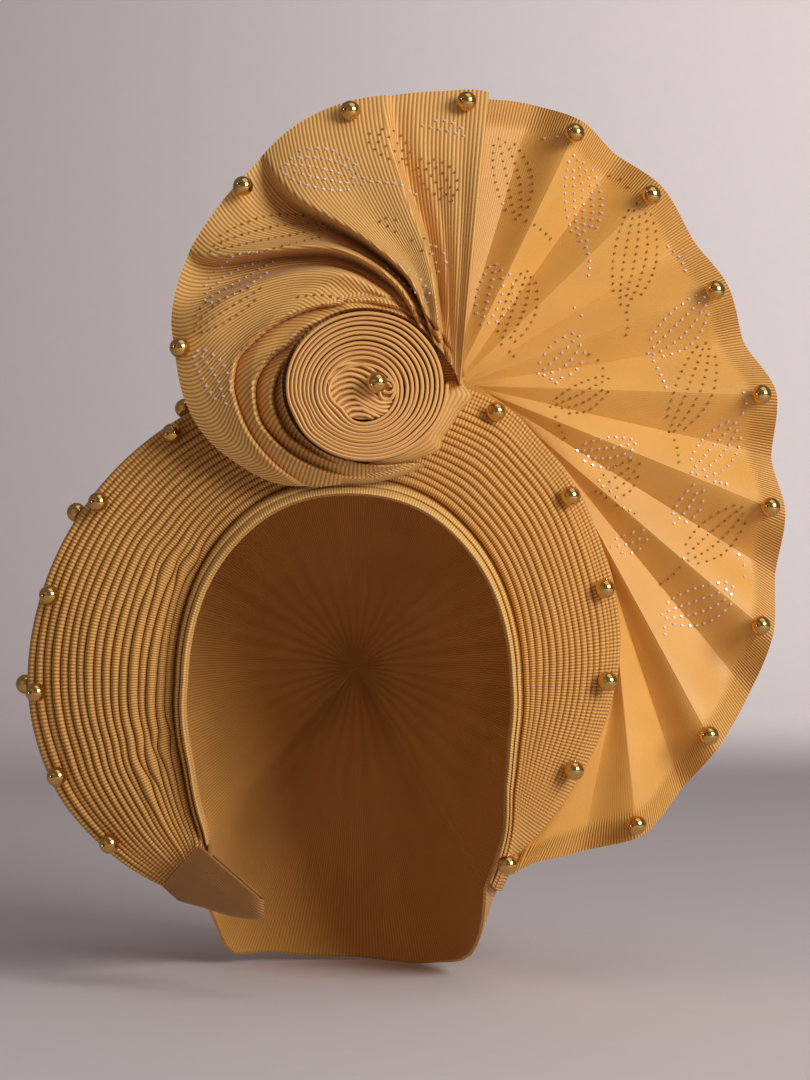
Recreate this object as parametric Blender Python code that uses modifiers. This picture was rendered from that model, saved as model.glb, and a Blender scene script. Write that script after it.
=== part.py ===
# Pre-tied gele head tie: a fitted turban cap with a pleated halo round the face, a wound rosette
# over the forehead with its swirled skirt, an accordion fan behind, and gold beads along the edges.
# Metres, +Z up, the wearer faces -Y. The origin is the inside of the cap at the crown of the head.
# Angles are in degrees, seen from the front: 0 points to +X, 90 points up, 180 points to -X.

import bisect
import math

import bmesh
import bpy
from mathutils import Vector
from mathutils.bvhtree import BVHTree

# Cloth and clearances
CLOTH_WALL = 0.0016
SEAT_GAP = 0.0004
ROOT_GAP = 0.0015

# Head that the cap fits, measured from its front-to-back axis
HEAD_HALF_WIDTH = 0.074
HEAD_HALF_DEPTH = 0.092
CROWN_HEIGHT = 0.095
NAPE_DROP = 0.136
HEAD_FULLNESS = 2.3

# Folded band round the face
BAND_WIDTH = 0.0062
BAND_THICKNESS = 0.0028

# Pleated halo, from the band out to its beaded rim, and the wall behind it
HALO_REACH = 0.129
HALO_GAP = 0.0011
HALO_RIM_DEPTH = 0.038
HALO_BULGE = 0.005
HALO_PLEATS = 15
PLEAT_DEPTH = 0.0015
WRAP_TURN = 107.0
WRAP_OFFSET = 0.0031
WRAP_END = 16

# Accordion fan behind the halo
FAN_REACH = 0.200
FAN_HUB_CLEARANCE = 0.003
FAN_HUB_ANGLE = 69.5
FAN_SETBACK = 0.022
FAN_FOLD_DEPTH = 0.013

# Rosette wound from a folded strip
ROSETTE_X = 0.0065
ROSETTE_Z = 0.0215
SKIRT_CLEARANCE = 0.0003
ROSETTE_RADIUS = 0.032
ROSETTE_CORE = 0.0016
ROSETTE_HEIGHT = 0.020
ROSETTE_TURNS = 12
ROSETTE_WALL = 0.0013
ROSETTE_FLATTENING = 0.94
ROSETTE_DRIFT = 0.0035
ROSETTE_LEAN = 0.16

# Swirled skirt round the rosette
SWIRL_REACH = 0.129
SWIRL_LIFT = 0.0075
SWIRL_RAISE = 0.009
SWIRL_CONE = 0.12

# Collar that seats the rosette on the halo
COLLAR_RADIUS = 0.0385
COLLAR_FOOT_RADIUS = 0.033
COLLAR_GAP = 0.0003
COLLAR_SEGMENTS = 36

# Plain tab that closes the left end of the halo
TAB_FOLD = 0.0042
TAB_DROP = 0.031
TAB_OVERLAP = 0.0025

BEAD_DIAMETER = 0.008
BEAD_RIM_INSET = 0.004
BEAD_BACK_SETBACK = 0.016

# Lower half of the head and neck outline: share of the way from the half width to the nape drop
NAPE_OUTLINE = {
    "angle": (180, 205, 220, 229, 240, 248, 270, 290, 303, 315, 328, 343, 360),
    "share": (0.0, 0.06, 0.17, 0.27, 0.68, 1.0, 1.0, 0.86, 0.52, 0.32, 0.13, 0.03, 0.0),
}

# Edge of the cap on the head: how far round from the front pole (0) to the back pole (180) it lies
CAP_OPENING = {
    "angle": (-57, -45, -32, -17, 0, 30, 60, 90, 120, 150, 180, 200, 219, 229, 235, 245, 255, 270, 285, 295, 303),
    "turn": (66, 64, 60, 58, 56.5, 55.5, 52, 48, 52, 56, 57, 59, 63, 67, 82, 106, 116, 118, 106, 84, 66),
}

# Rim of the halo: share of HALO_REACH from the head's axis
HALO_RIM = {
    "angle": (-56, -40, -25, -10, 8, 20, 30, 42, 52, 61, 70, 80, 95, 120, 140, 160, 180, 198, 214, 229),
    "share": (0.738, 0.752, 0.768, 0.800, 0.846, 0.868, 0.890, 0.925, 0.950, 0.977, 0.975, 0.968,
              0.955, 0.968, 0.980, 0.992, 1.0, 0.980, 0.925, 0.858),
}
HALO_LEFT, HALO_RIGHT = 229, -55

# Width of the band along the face, as a share of BAND_WIDTH
BAND_SHAPE = {"angle": (-57, -20, 20, 60, 90, 120, 160, 200, 229), "share": (0.5, 0.6, 0.7, 0.9, 1.0, 1.0, 0.75, 0.65, 0.6)}

# Folds of the fan, ridge and valley in turn. seat: angle of its foot on the halo's wall.
# aim and reach: its outer end from the hub, in degrees and as a share of FAN_REACH.
# back: how far behind the rim the outer end lies, as a share of FAN_SETBACK. fold: 1 ridge, -1 valley.
FAN_FOLDS = {
    "seat": (73.5, 71.5, 70.5, 70, 69.5, 69, 68.5, 67.8, 67, 65.8, 64, 59.5, 54, 49.5, 45, 34, 22, 0, -20, -48),
    "aim": (95, 75.5, 65.5, 55.5, 44.6, 32, 20, 9, -2.2, -12.7, -21.9, -31, -39.1, -46.9, -55.2, -61.4,
            -68.9, -75.5, -80.5, -84.1),
    "reach": (0.570, 0.588, 0.582, 0.568, 0.570, 0.562, 0.578, 0.588, 0.643, 0.655, 0.711, 0.755, 0.816,
              0.868, 0.908, 0.945, 0.990, 0.985, 0.985, 1.003),
    "back": (0.62, 0.75, 0.8, 0.95, 1.0, 1.05, 1.1, 1.15, 1.15, 1.15, 1.15, 1.15, 1.1, 1.1, 1.05, 1.0, 0.95,
             0.9, 0.85, 0.75),
    "fold": (-0.3, -1, 1, -1, 1, -1, 1, -1, 1, -1, 1, -1, 1, -1, 1, -1, 1, -0.8, -0.2, 0.2),
}
FAN_SEAT_SETBACK = {"angle": (-50, 50, 62, 72), "share": (0.9, 0.9, 0.7, 0.42)}

# Outline of the swirl round the rosette: share of SWIRL_REACH
SWIRL_OUTLINE = {
    "angle": (0, 67.6, 76, 85, 93, 104, 117, 132, 146, 161, 169, 184, 197, 212, 227, 242, 262, 285, 310),
    "share": (0.31, 1.0, 0.957, 0.92, 0.898, 0.851, 0.772, 0.712, 0.674, 0.627, 0.592, 0.551, 0.510,
              0.450, 0.401, 0.345, 0.298, 0.292, 0.303),
}

# Folds of the swirl. start: where each leaves the rosette, finish: where it meets the hem,
# lift: 1 ridge, 0 valley, curl: 0 for a straight fold, 1 for one that turns with the rosette
SWIRL_FOLDS = {
    "start": (2, 14, 25, 33, 42, 50, 58, 64, 72, 82, 95, 110, 128, 148, 172, 200, 228, 256),
    "finish": (67.6, 76, 84, 98, 110, 123, 135, 147, 160, 172, 184, 197, 211, 227, 244, 262, 282, 306),
    "lift": (0.25, 0.55, 0.0, 1.0, 0.0, 1.0, 0.0, 1.0, 0.0, 1.0, 0.0, 1.0, 0.0, 0.9, 0.0, 0.7, 0.1, 0.4),
    "curl": (0.0, 0.25, 0.6, 0.9, 1.0, 1.0, 1.0, 1.0, 1.0, 1.0, 1.0, 1.0, 1.0, 1.0, 1.0, 1.0, 1.0, 1.0),
}
SWIRL_SWELL = {"along": (0.0, 0.25, 0.6, 0.85, 1.0), "share": (0.45, 1.0, 0.7, 0.3, 0.12)}

# Drop of the tab below the end of the halo, from the face (0) to the rim (1), as a share of TAB_DROP
TAB_OUTLINE = {"across": (0.0, 0.25, 0.55, 0.8, 1.0), "share": (0.93, 1.0, 0.72, 0.4, 0.16)}

# Beads: their angles along each edge
HALO_BEADS = (-49, -21.6, 0, 20, 40, 61.5, 125.6, 144.5, 164, 182, 198, 214)
WRAP_BEADS = (121.6, 148.8, 181)
FAN_BEADS = (2, 4, 6, 8, 10, 12, 14, 16)
FAN_BEAD_ALONG = 0.945
SWIRL_BEADS = (71.5, 93.5, 121.5, 168.5)
SWIRL_BEAD_ALONG = 0.955
ROSETTE_BEAD_OFFSET = 0.15

CAP_COLOUR = (0.48, 0.24, 0.05, 1)
RIBBED_COLOUR = (0.57, 0.29, 0.06, 1)
FAN_COLOUR = (0.64, 0.32, 0.05, 1)
GOLD_COLOUR = (0.70, 0.38, 0.08, 1)


def curve_through(keys, values, at):
    """Value at a key on a smooth curve through the rows of a table, with no overshoot."""
    row = min(max(bisect.bisect_right(keys, at) - 1, 0), len(keys) - 2)
    steps = [keys[i + 1] - keys[i] for i in range(len(keys) - 1)]
    rises = [(values[i + 1] - values[i]) / steps[i] for i in range(len(steps))]

    def slope(i):
        if i == 0:
            return rises[0]
        if i == len(rises):
            return rises[-1]
        before, after = rises[i - 1], rises[i]
        if before * after <= 0:
            return 0.0
        return 2 * before * after / (before + after)

    step = steps[row]
    t = min(max((at - keys[row]) / step, 0.0), 1.0)
    start, end = values[row], values[row + 1]
    return (
        start * (1 + 2 * t) * (1 - t) ** 2
        + slope(row) * step * t * (1 - t) ** 2
        + end * t * t * (3 - 2 * t)
        + slope(row + 1) * step * t * t * (t - 1)
    )


def place(angle, reach, depth):
    """Point at an angle and reach from the head's axis, and a depth behind the crown."""
    a = math.radians(angle)
    return Vector((reach * math.cos(a), depth, -CROWN_HEIGHT + reach * math.sin(a)))


def head_reach(angle):
    """Reach of the head's outline from its axis, seen from the front."""
    a = math.radians(angle)
    if math.sin(a) >= 0:
        return 1 / math.hypot(math.cos(a) / HEAD_HALF_WIDTH, math.sin(a) / CROWN_HEIGHT)
    share = curve_through(NAPE_OUTLINE["angle"], NAPE_OUTLINE["share"], angle % 360)
    return HEAD_HALF_WIDTH + (NAPE_DROP - HEAD_HALF_WIDTH) * share


def head_section(angle, turn, offset):
    """Reach and depth on the head at a turn from the front pole, moved out by an offset."""
    t = math.radians(turn)
    power = 2 / HEAD_FULLNESS
    reach = (head_reach(angle) + offset) * max(math.sin(t), 0.0) ** power
    depth = -math.copysign(abs(math.cos(t)) ** power, math.cos(t)) * (HEAD_HALF_DEPTH + offset)
    return reach, depth


def head_depth(angle, reach, offset):
    """Depth of the front of the head at a reach, moved out by an offset."""
    share = min(reach / (head_reach(angle) + offset), 1.0)
    return -(HEAD_HALF_DEPTH + offset) * (1 - share ** HEAD_FULLNESS) ** (1 / HEAD_FULLNESS)


def head_width_at(angle, depth, offset):
    """Reach of the head at a depth, moved out by an offset."""
    share = min(abs(depth) / (HEAD_HALF_DEPTH + offset), 1.0)
    return (head_reach(angle) + offset) * (1 - share ** HEAD_FULLNESS) ** (1 / HEAD_FULLNESS)


def cap_point(u, v):
    """Cap: u runs once round its opening, v from the opening to the back pole."""
    first, last = CAP_OPENING["angle"][0], CAP_OPENING["angle"][-1]
    angle = first + (last - first) * u
    edge = curve_through(CAP_OPENING["angle"], CAP_OPENING["turn"], angle)
    return place(angle, *head_section(angle, edge + (180 - edge) * v, CLOTH_WALL / 2))


def face_edge(angle):
    """Reach and depth of the cap's edge round the face."""
    turn = curve_through(CAP_OPENING["angle"], CAP_OPENING["turn"], angle)
    return head_section(angle, turn, CLOTH_WALL / 2)


def band_width(angle):
    return BAND_WIDTH * curve_through(BAND_SHAPE["angle"], BAND_SHAPE["share"], angle)


def band_ring(angle):
    """Section of the band: a flat fold that lies on the cap along its edge."""
    inner = face_edge(angle)[0]
    width = band_width(angle)
    under = CLOTH_WALL + SEAT_GAP
    over = under + BAND_THICKNESS
    section = ((0.0, under), (0.5, under), (1.0, under), (1.0, over * 0.8), (0.6, over), (0.25, over), (0.0, over * 0.75))
    ring = []
    for across, lift in section:
        reach = inner + width * across
        base = head_depth(angle, reach, 0)
        slope = (head_depth(angle, reach + SEAT_GAP, 0) - base) / SEAT_GAP
        ring.append(place(angle, reach, base - lift * math.hypot(1, slope)))
    return ring


def halo_span(angle):
    """Reach and depth of the halo's inner edge and of its rim."""
    inner = face_edge(angle)[0] + band_width(angle) + HALO_GAP
    slope = (head_depth(angle, inner + SEAT_GAP, 0) - head_depth(angle, inner, 0)) / SEAT_GAP
    lift = (CLOTH_WALL + SEAT_GAP + BAND_THICKNESS * 0.75) * math.hypot(1, slope)
    rim = HALO_REACH * curve_through(HALO_RIM["angle"], HALO_RIM["share"], angle)
    return inner, head_depth(angle, inner, 0) - lift, max(rim, inner + CLOTH_WALL), -HALO_RIM_DEPTH


def halo_surface(angle, across):
    """Reach and depth on the halo without its pleats, from the band (0) to the rim (1)."""
    inner, inner_depth, rim, rim_depth = halo_span(angle)
    width = rim - inner
    bulge = HALO_BULGE * 4 * across * (1 - across) * min(width / (HALO_REACH / 2), 1)
    return inner + width * across, inner_depth + (rim_depth - inner_depth) * across - bulge


def halo_point(u, v):
    """Pleated halo: u from its left end to its right end, v in half pleats from band to rim."""
    angle = HALO_LEFT + (HALO_RIGHT - HALO_LEFT) * u
    step = round(v * 2 * HALO_PLEATS)
    ridge = step % 2 == 1
    across = (step + (0.25 if ridge else 0.0)) / (2 * HALO_PLEATS)
    inner, _, rim, _ = halo_span(angle)
    depth_of_pleat = min(PLEAT_DEPTH, 0.45 * (rim - inner) / HALO_PLEATS)
    reach, depth = halo_surface(angle, across)
    return place(angle, reach, depth - (depth_of_pleat if ridge else 0))


def wrap_fullness(angle, along):
    """How full the wall behind the halo stands: it draws in to the cap towards both of its ends."""
    to_end = min((HALO_LEFT - angle) / WRAP_END, (angle - HALO_RIGHT) / WRAP_END, 1)
    drawn_in = (1 - max(to_end, 0)) ** 2
    return 1 - drawn_in * min(along * 4, 1)


def wrap_section(angle, along):
    """Reach and depth on the wall behind the halo, from the rim (0) round to the cap (1)."""
    rim = halo_span(angle)[2] - CLOTH_WALL / 2
    start = -HALO_RIM_DEPTH + CLOTH_WALL + SEAT_GAP
    foot, end = head_section(angle, WRAP_TURN, WRAP_OFFSET)
    turn = math.radians(90 * along)
    reach = foot + max(rim - foot, 0) * max(math.cos(turn), 0.0) ** 0.8
    depth = start + (end - start) * math.sin(turn)
    cap = head_width_at(angle, depth, WRAP_OFFSET)
    return max(cap + (reach - cap) * wrap_fullness(angle, along), cap), depth


def wrap_reach_at(angle, depth):
    """Reach of the wall behind the halo at a depth."""
    start = -HALO_RIM_DEPTH + CLOTH_WALL + SEAT_GAP
    end = head_section(angle, WRAP_TURN, WRAP_OFFSET)[1]
    along = math.asin(min(max((depth - start) / (end - start), 0), 1)) / math.radians(90)
    return wrap_section(angle, along)[0]


def wrap_point(u, v):
    """Wrap: u from its left end to its right end, closer together near the ends, v from rim to cap."""
    spread = u + (u - (1 - math.cos(math.pi * u)) / 2) * -0.7
    angle = HALO_LEFT + (HALO_RIGHT - HALO_LEFT) * spread
    return place(angle, *wrap_section(angle, v))


def fan_hub():
    """Point where the folds of the fan meet, just above the halo's rim."""
    reach = wrap_reach_at(FAN_HUB_ANGLE, -HALO_RIM_DEPTH) + FAN_HUB_CLEARANCE
    return place(FAN_HUB_ANGLE, reach, 0)


def fan_row(index):
    """Inner and outer end of one fold line of the fan. index may lie between two folds."""
    order = list(range(len(FAN_FOLDS["seat"])))
    seat, aim, reach, back = (curve_through(order, FAN_FOLDS[c], index) for c in ("seat", "aim", "reach", "back"))
    setback = curve_through(FAN_SEAT_SETBACK["angle"], FAN_SEAT_SETBACK["share"], seat)
    seat_depth = -HALO_RIM_DEPTH + FAN_SETBACK * setback
    wall = wrap_reach_at(seat, seat_depth - CLOTH_WALL) + CLOTH_WALL + ROOT_GAP
    hub = fan_hub()
    near_hub = min(max((seat - 60) / (FAN_HUB_ANGLE - 60), 0), 1)
    inner = place(seat, wall + (FAN_HUB_CLEARANCE - ROOT_GAP) * near_hub, seat_depth)
    a = math.radians(aim)
    outer = Vector((
        hub.x + FAN_REACH * reach * math.cos(a),
        -HALO_RIM_DEPTH + FAN_SETBACK * back,
        hub.z + FAN_REACH * reach * math.sin(a),
    ))
    return inner, outer


def fan_fold(index):
    """Height of the accordion, 1 on a ridge and -1 in a valley, straight from one to the next."""
    low = min(int(index), len(FAN_FOLDS["fold"]) - 2)
    share = index - low
    return FAN_FOLDS["fold"][low] * (1 - share) + FAN_FOLDS["fold"][low + 1] * share


def fan_at(index, along):
    inner, outer = fan_row(index)
    point = inner.lerp(outer, along)
    reach = (outer - inner).length / FAN_REACH
    point.y -= FAN_FOLD_DEPTH / 2 * fan_fold(index) * along ** 0.9 * min(reach * 1.7, 1)
    return point


def fan_point(u, v):
    return fan_at(u * (len(FAN_FOLDS["seat"]) - 1), v)


def rosette_radius(angle):
    """Outer radius of the rosette at an angle round its own centre."""
    a = math.radians(angle)
    return ROSETTE_RADIUS / math.hypot(math.cos(a), math.sin(a) / ROSETTE_FLATTENING)


def rosette_base(z):
    """Depth of the plane that the rosette stands on: its skirt's lowest hem just clears the band."""
    band_front = min(point.y for point in band_ring(90))
    hem = swirl_reach(285)
    return band_front - SKIRT_CLEARANCE - SWIRL_CONE * (hem - ROSETTE_RADIUS) + ROSETTE_LEAN * (z - ROSETTE_Z + hem)


def rosette_point(u, v):
    """Spiral strip: u from the core to the last turn, v from its face to its back."""
    turns = u * ROSETTE_TURNS
    radius = ROSETTE_CORE + (ROSETTE_RADIUS - ROSETTE_WALL / 2 - ROSETTE_CORE) * u
    a = math.radians(360 * turns)
    drift = ROSETTE_DRIFT * (1 - u)
    x = ROSETTE_X + drift + radius * math.cos(a)
    z = ROSETTE_Z + ROSETTE_FLATTENING * radius * math.sin(a)
    return Vector((x, rosette_base(z) - ROSETTE_HEIGHT * (1 - v), z))


def swirl_reach(angle):
    return SWIRL_REACH * curve_through(SWIRL_OUTLINE["angle"], SWIRL_OUTLINE["share"], angle)


def swirl_at(index, along):
    """Point on the swirl on a fold line, from the rosette (0) to the hem (1)."""
    order = list(range(len(SWIRL_FOLDS["start"])))
    start, finish, curl = (curve_through(order, SWIRL_FOLDS[c], index) for c in ("start", "finish", "curl"))
    clear = SEAT_GAP
    angle = start + (finish - start) * (1 - (1 - along) ** 2)
    root = rosette_radius(angle) + clear
    reach = root + (max(swirl_reach(angle), root + CLOTH_WALL) - root) * along ** 1.2
    turned = Vector((reach * math.cos(math.radians(angle)), reach * math.sin(math.radians(angle))))
    first = rosette_radius(start) + clear + (swirl_reach(0) - rosette_radius(0) - clear) * (1 - curl)
    inner = Vector((math.cos(math.radians(start)), math.sin(math.radians(start)))) * first
    outer = Vector((math.cos(math.radians(finish)), math.sin(math.radians(finish)))) * swirl_reach(finish)
    flat = inner.lerp(outer, along ** 1.1).lerp(turned, curl)
    low = min(int(index), len(order) - 2)
    share = (1 - math.cos(math.pi * (index - low))) / 2
    lift = SWIRL_FOLDS["lift"][low] * (1 - share) + SWIRL_FOLDS["lift"][low + 1] * share
    swell = curve_through(SWIRL_SWELL["along"], SWIRL_SWELL["share"], along)
    room = min((flat.length - rosette_radius(0)) / ROSETTE_HEIGHT + 0.4, 1)
    x, z = ROSETTE_X + flat.x, ROSETTE_Z + flat.y
    depth = (
        rosette_base(z)
        + SWIRL_CONE * (flat.length - ROSETTE_RADIUS)
        - SWIRL_RAISE * (1 - along) ** 2
        - SWIRL_LIFT * lift * swell * max(room, 0)
    )
    return Vector((x, depth, z))


def swirl_point(u, v):
    return swirl_at(u * (len(SWIRL_FOLDS["start"]) - 1), v)


def halo_front(x, z):
    """Depth of the halo's front at a place seen from the front, or of its rim beyond it."""
    reach = math.hypot(x, z + CROWN_HEIGHT)
    angle = math.degrees(math.atan2(z + CROWN_HEIGHT, x))
    inner, _, rim, _ = halo_span(angle)
    across = min(max((reach - inner) / (rim - inner), 0), 1)
    return halo_surface(angle, across)[1]


def collar_place(angle, radius):
    """Where the collar's wall stands, seen from the front."""
    a = math.radians(angle)
    return ROSETTE_X + radius * math.cos(a), ROSETTE_Z + ROSETTE_FLATTENING * radius * math.sin(a)


def collar_top(angle, skirt):
    """Depth of the collar's front edge, just behind all of the skirt that lies over this stretch."""
    deepest = rosette_base(collar_place(angle, COLLAR_RADIUS)[1])
    reach = 180 / COLLAR_SEGMENTS
    for turn in (-2 * reach, -reach, 0, reach, 2 * reach):
        for step in (-CLOTH_WALL, 0, CLOTH_WALL):
            x, z = collar_place(angle + turn, COLLAR_RADIUS + step)
            hit = skirt.ray_cast(Vector((x, HEAD_HALF_DEPTH, z)), Vector((0, -1, 0)))[0]
            if hit:
                deepest = max(deepest, hit.y)
    return deepest + SEAT_GAP


def collar_point(u, v, skirt):
    """Collar: u once round the rosette, v from the skirt back to the halo."""
    x, z = collar_place(360 * u, COLLAR_RADIUS + (COLLAR_FOOT_RADIUS - COLLAR_RADIUS) * v)
    front = collar_top(360 * u, skirt)
    back = halo_front(x, z) - PLEAT_DEPTH - CLOTH_WALL - COLLAR_GAP
    return Vector((x, front + (max(back, front + CLOTH_WALL) - front) * v, z))


def tab_point(u, v):
    """Tab: u across from the face to the rim, v down its front, round the fold and up its back."""
    inner, _, rim, _ = halo_span(HALO_LEFT)
    across = inner + (rim - inner) * u
    drop = TAB_DROP * curve_through(TAB_OUTLINE["across"], TAB_OUTLINE["share"], u)
    middle = halo_surface(HALO_LEFT, u)[1]
    legs = (
        (0.0, -TAB_OVERLAP, -1.0),
        (0.25, 0.25, -1.0),
        (0.42, 0.8, -1.0),
        (0.5, 1.0, -0.55),
        (0.55, 1.04, 0.1),
        (0.6, 1.0, 0.7),
        (0.75, 0.55, 1.0),
        (1.0, 0.14, 1.0),
    )
    along = [row[0] for row in legs]
    down = curve_through(along, [row[1] for row in legs], v)
    down = down * drop if v > 0 else -TAB_OVERLAP
    side = curve_through(along, [row[2] for row in legs], v)
    a = math.radians(HALO_LEFT)
    tangent = Vector((-math.sin(a), 0, math.cos(a)))
    return place(HALO_LEFT, across, middle + TAB_FOLD * side) + tangent * down


def material(name, colour, roughness, metallic=0.0):
    made = bpy.data.materials.new(name)
    made.use_nodes = True
    shader = made.node_tree.nodes["Principled BSDF"]
    shader.inputs["Base Color"].default_value = colour
    shader.inputs["Roughness"].default_value = roughness
    shader.inputs["Metallic"].default_value = metallic
    return made


def add_object(name, mesh, finish, parent):
    made = bpy.data.objects.new(name, mesh)
    mesh.materials.append(finish)
    bpy.data.collections["gele"].objects.link(made)
    made.parent = parent
    return made


def grid_mesh(name, point, across, along):
    """Grid whose points are moved to where point(u, v) says, with its meeting edges joined."""
    bm = bmesh.new()
    bmesh.ops.create_grid(bm, x_segments=across, y_segments=along, size=0.5)
    for vertex in bm.verts:
        vertex.co = point(vertex.co.x + 0.5, vertex.co.y + 0.5)
    bmesh.ops.remove_doubles(bm, verts=bm.verts, dist=1e-6)
    mesh = bpy.data.meshes.new(name)
    bm.to_mesh(mesh)
    bm.free()
    return mesh


def cloth(name, point, across, along, finish, parent, wall=CLOTH_WALL):
    """Open sheet given its cloth's thickness, half to each side."""
    made = add_object(name, grid_mesh(name, point, across, along), finish, parent)
    made.data.shade_smooth()
    thickness = made.modifiers.new("wall", "SOLIDIFY")
    thickness.thickness = wall
    thickness.offset = 0
    return made


def surface_of(piece):
    """Search tree of a piece's outer and inner faces, to seat other pieces on."""
    return BVHTree.FromObject(piece, bpy.context.evaluated_depsgraph_get())


def face_band(finish, parent, sections=40):
    """Band lofted through rings, closed at both ends."""
    bm = bmesh.new()
    rings = []
    for i in range(sections + 1):
        ring = band_ring(HALO_LEFT + (HALO_RIGHT - HALO_LEFT) * i / sections)
        rings.append([bm.verts.new(point) for point in ring])
    count = len(rings[0])
    for first, second in zip(rings, rings[1:]):
        for k in range(count):
            bm.faces.new((first[k], first[(k + 1) % count], second[(k + 1) % count], second[k]))
    bm.faces.new(rings[0])
    bm.faces.new(rings[-1])
    bmesh.ops.recalc_face_normals(bm, faces=bm.faces)
    mesh = bpy.data.meshes.new("face_band")
    bm.to_mesh(mesh)
    bm.free()
    mesh.shade_smooth()
    return add_object("face_band", mesh, finish, parent)


def bead_mesh():
    bm = bmesh.new()
    bmesh.ops.create_uvsphere(bm, u_segments=10, v_segments=6, radius=BEAD_DIAMETER / 2)
    mesh = bpy.data.meshes.new("bead")
    bm.to_mesh(mesh)
    bm.free()
    mesh.shade_smooth()
    return mesh


def add_beads(prefix, places, mesh, parent):
    for number, point in enumerate(places, 1):
        bead = bpy.data.objects.new(f"{prefix}_bead_{number:02d}", mesh)
        bpy.data.collections["gele"].objects.link(bead)
        bead.parent = parent
        bead.location = point


def seat_bead(start, heading, surfaces):
    """Move a bead along its heading until it lies on the nearest surface."""
    stand = BEAD_DIAMETER / 2 + SEAT_GAP
    centre = start - heading * BEAD_DIAMETER * 2
    for _ in range(60):
        room = min(surface.find_nearest(centre)[3] for surface in surfaces) - stand
        centre = centre + heading * max(room, 0)
    return centre


def bead_places(surfaces):
    """Centre of every bead, by the edge that it is sewn to."""
    back = Vector((0, 1, 0))
    starts = {"halo": [], "wrap": [], "fan": [], "swirl": [], "rosette": []}
    for angle in HALO_BEADS:
        inner, _, rim, _ = halo_span(angle)
        reach, depth = halo_surface(angle, max(1 - BEAD_RIM_INSET / (rim - inner), 0.5))
        starts["halo"].append((place(angle, reach, depth), back))
    for angle in WRAP_BEADS:
        depth = -HALO_RIM_DEPTH + BEAD_BACK_SETBACK
        inward = (place(angle, 0, depth) - place(angle, 1, depth)).normalized()
        starts["wrap"].append((place(angle, wrap_reach_at(angle, depth), depth), inward))
    for row in FAN_BEADS:
        starts["fan"].append((fan_at(row, FAN_BEAD_ALONG), back))
    for angle in SWIRL_BEADS:
        index = curve_through(SWIRL_FOLDS["finish"], list(range(len(SWIRL_FOLDS["finish"]))), angle)
        starts["swirl"].append((swirl_at(index, SWIRL_BEAD_ALONG), back))
    x = ROSETTE_X + ROSETTE_BEAD_OFFSET * ROSETTE_RADIUS
    starts["rosette"].append((Vector((x, rosette_base(ROSETTE_Z) - ROSETTE_HEIGHT, ROSETTE_Z)), back))
    return {edge: [seat_bead(*start, surfaces) for start in rows] for edge, rows in starts.items()}


def build():
    for old in list(bpy.data.objects):
        bpy.data.objects.remove(old)
    collection = bpy.data.collections.new("gele")
    bpy.context.scene.collection.children.link(collection)
    head = bpy.data.objects.new("head_seat", None)
    collection.objects.link(head)

    plain = material("cap_cloth", CAP_COLOUR, 0.8)
    ribbed = material("ribbed_cloth", RIBBED_COLOUR, 0.6)
    satin = material("fan_cloth", FAN_COLOUR, 0.5)
    gold = material("gold_bead", GOLD_COLOUR, 0.25, 1.0)

    cloth("base_cap", cap_point, 40, 8, plain, head)
    band = face_band(ribbed, head)
    halo = cloth("pleated_halo", halo_point, 26, 2 * HALO_PLEATS, ribbed, head)
    wrap = cloth("halo_wrap", wrap_point, 34, 7, ribbed, head)
    fan = cloth("fan", fan_point, 2 * (len(FAN_FOLDS["seat"]) - 1), 6, satin, head)
    rosette = cloth("rosette", rosette_point, ROSETTE_TURNS * 16, 1, ribbed, head, wall=ROSETTE_WALL)
    skirt = cloth("rosette_skirt", swirl_point, 2 * (len(SWIRL_FOLDS["start"]) - 1), 9, ribbed, head)
    under_skirt = surface_of(skirt)
    cloth("rosette_collar", lambda u, v: collar_point(u, v, under_skirt), COLLAR_SEGMENTS, 1, ribbed, head)
    cloth("side_tab", tab_point, 8, 9, ribbed, head)

    mesh = bead_mesh()
    mesh.materials.append(gold)
    surfaces = [surface_of(piece) for piece in (band, halo, wrap, fan, rosette, skirt)]
    for edge, places in bead_places(surfaces).items():
        add_beads(edge, places, mesh, head)


build()
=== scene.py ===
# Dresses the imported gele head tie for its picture. Metres, +Z up, the wearer faces -Y.
# Angles are in degrees, seen from the front: 0 points to +X, 90 points up, 180 points to -X.
import bisect
import math
import random

import bmesh
import bpy
from mathutils import Matrix, Vector
from mathutils.bvhtree import BVHTree


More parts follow.
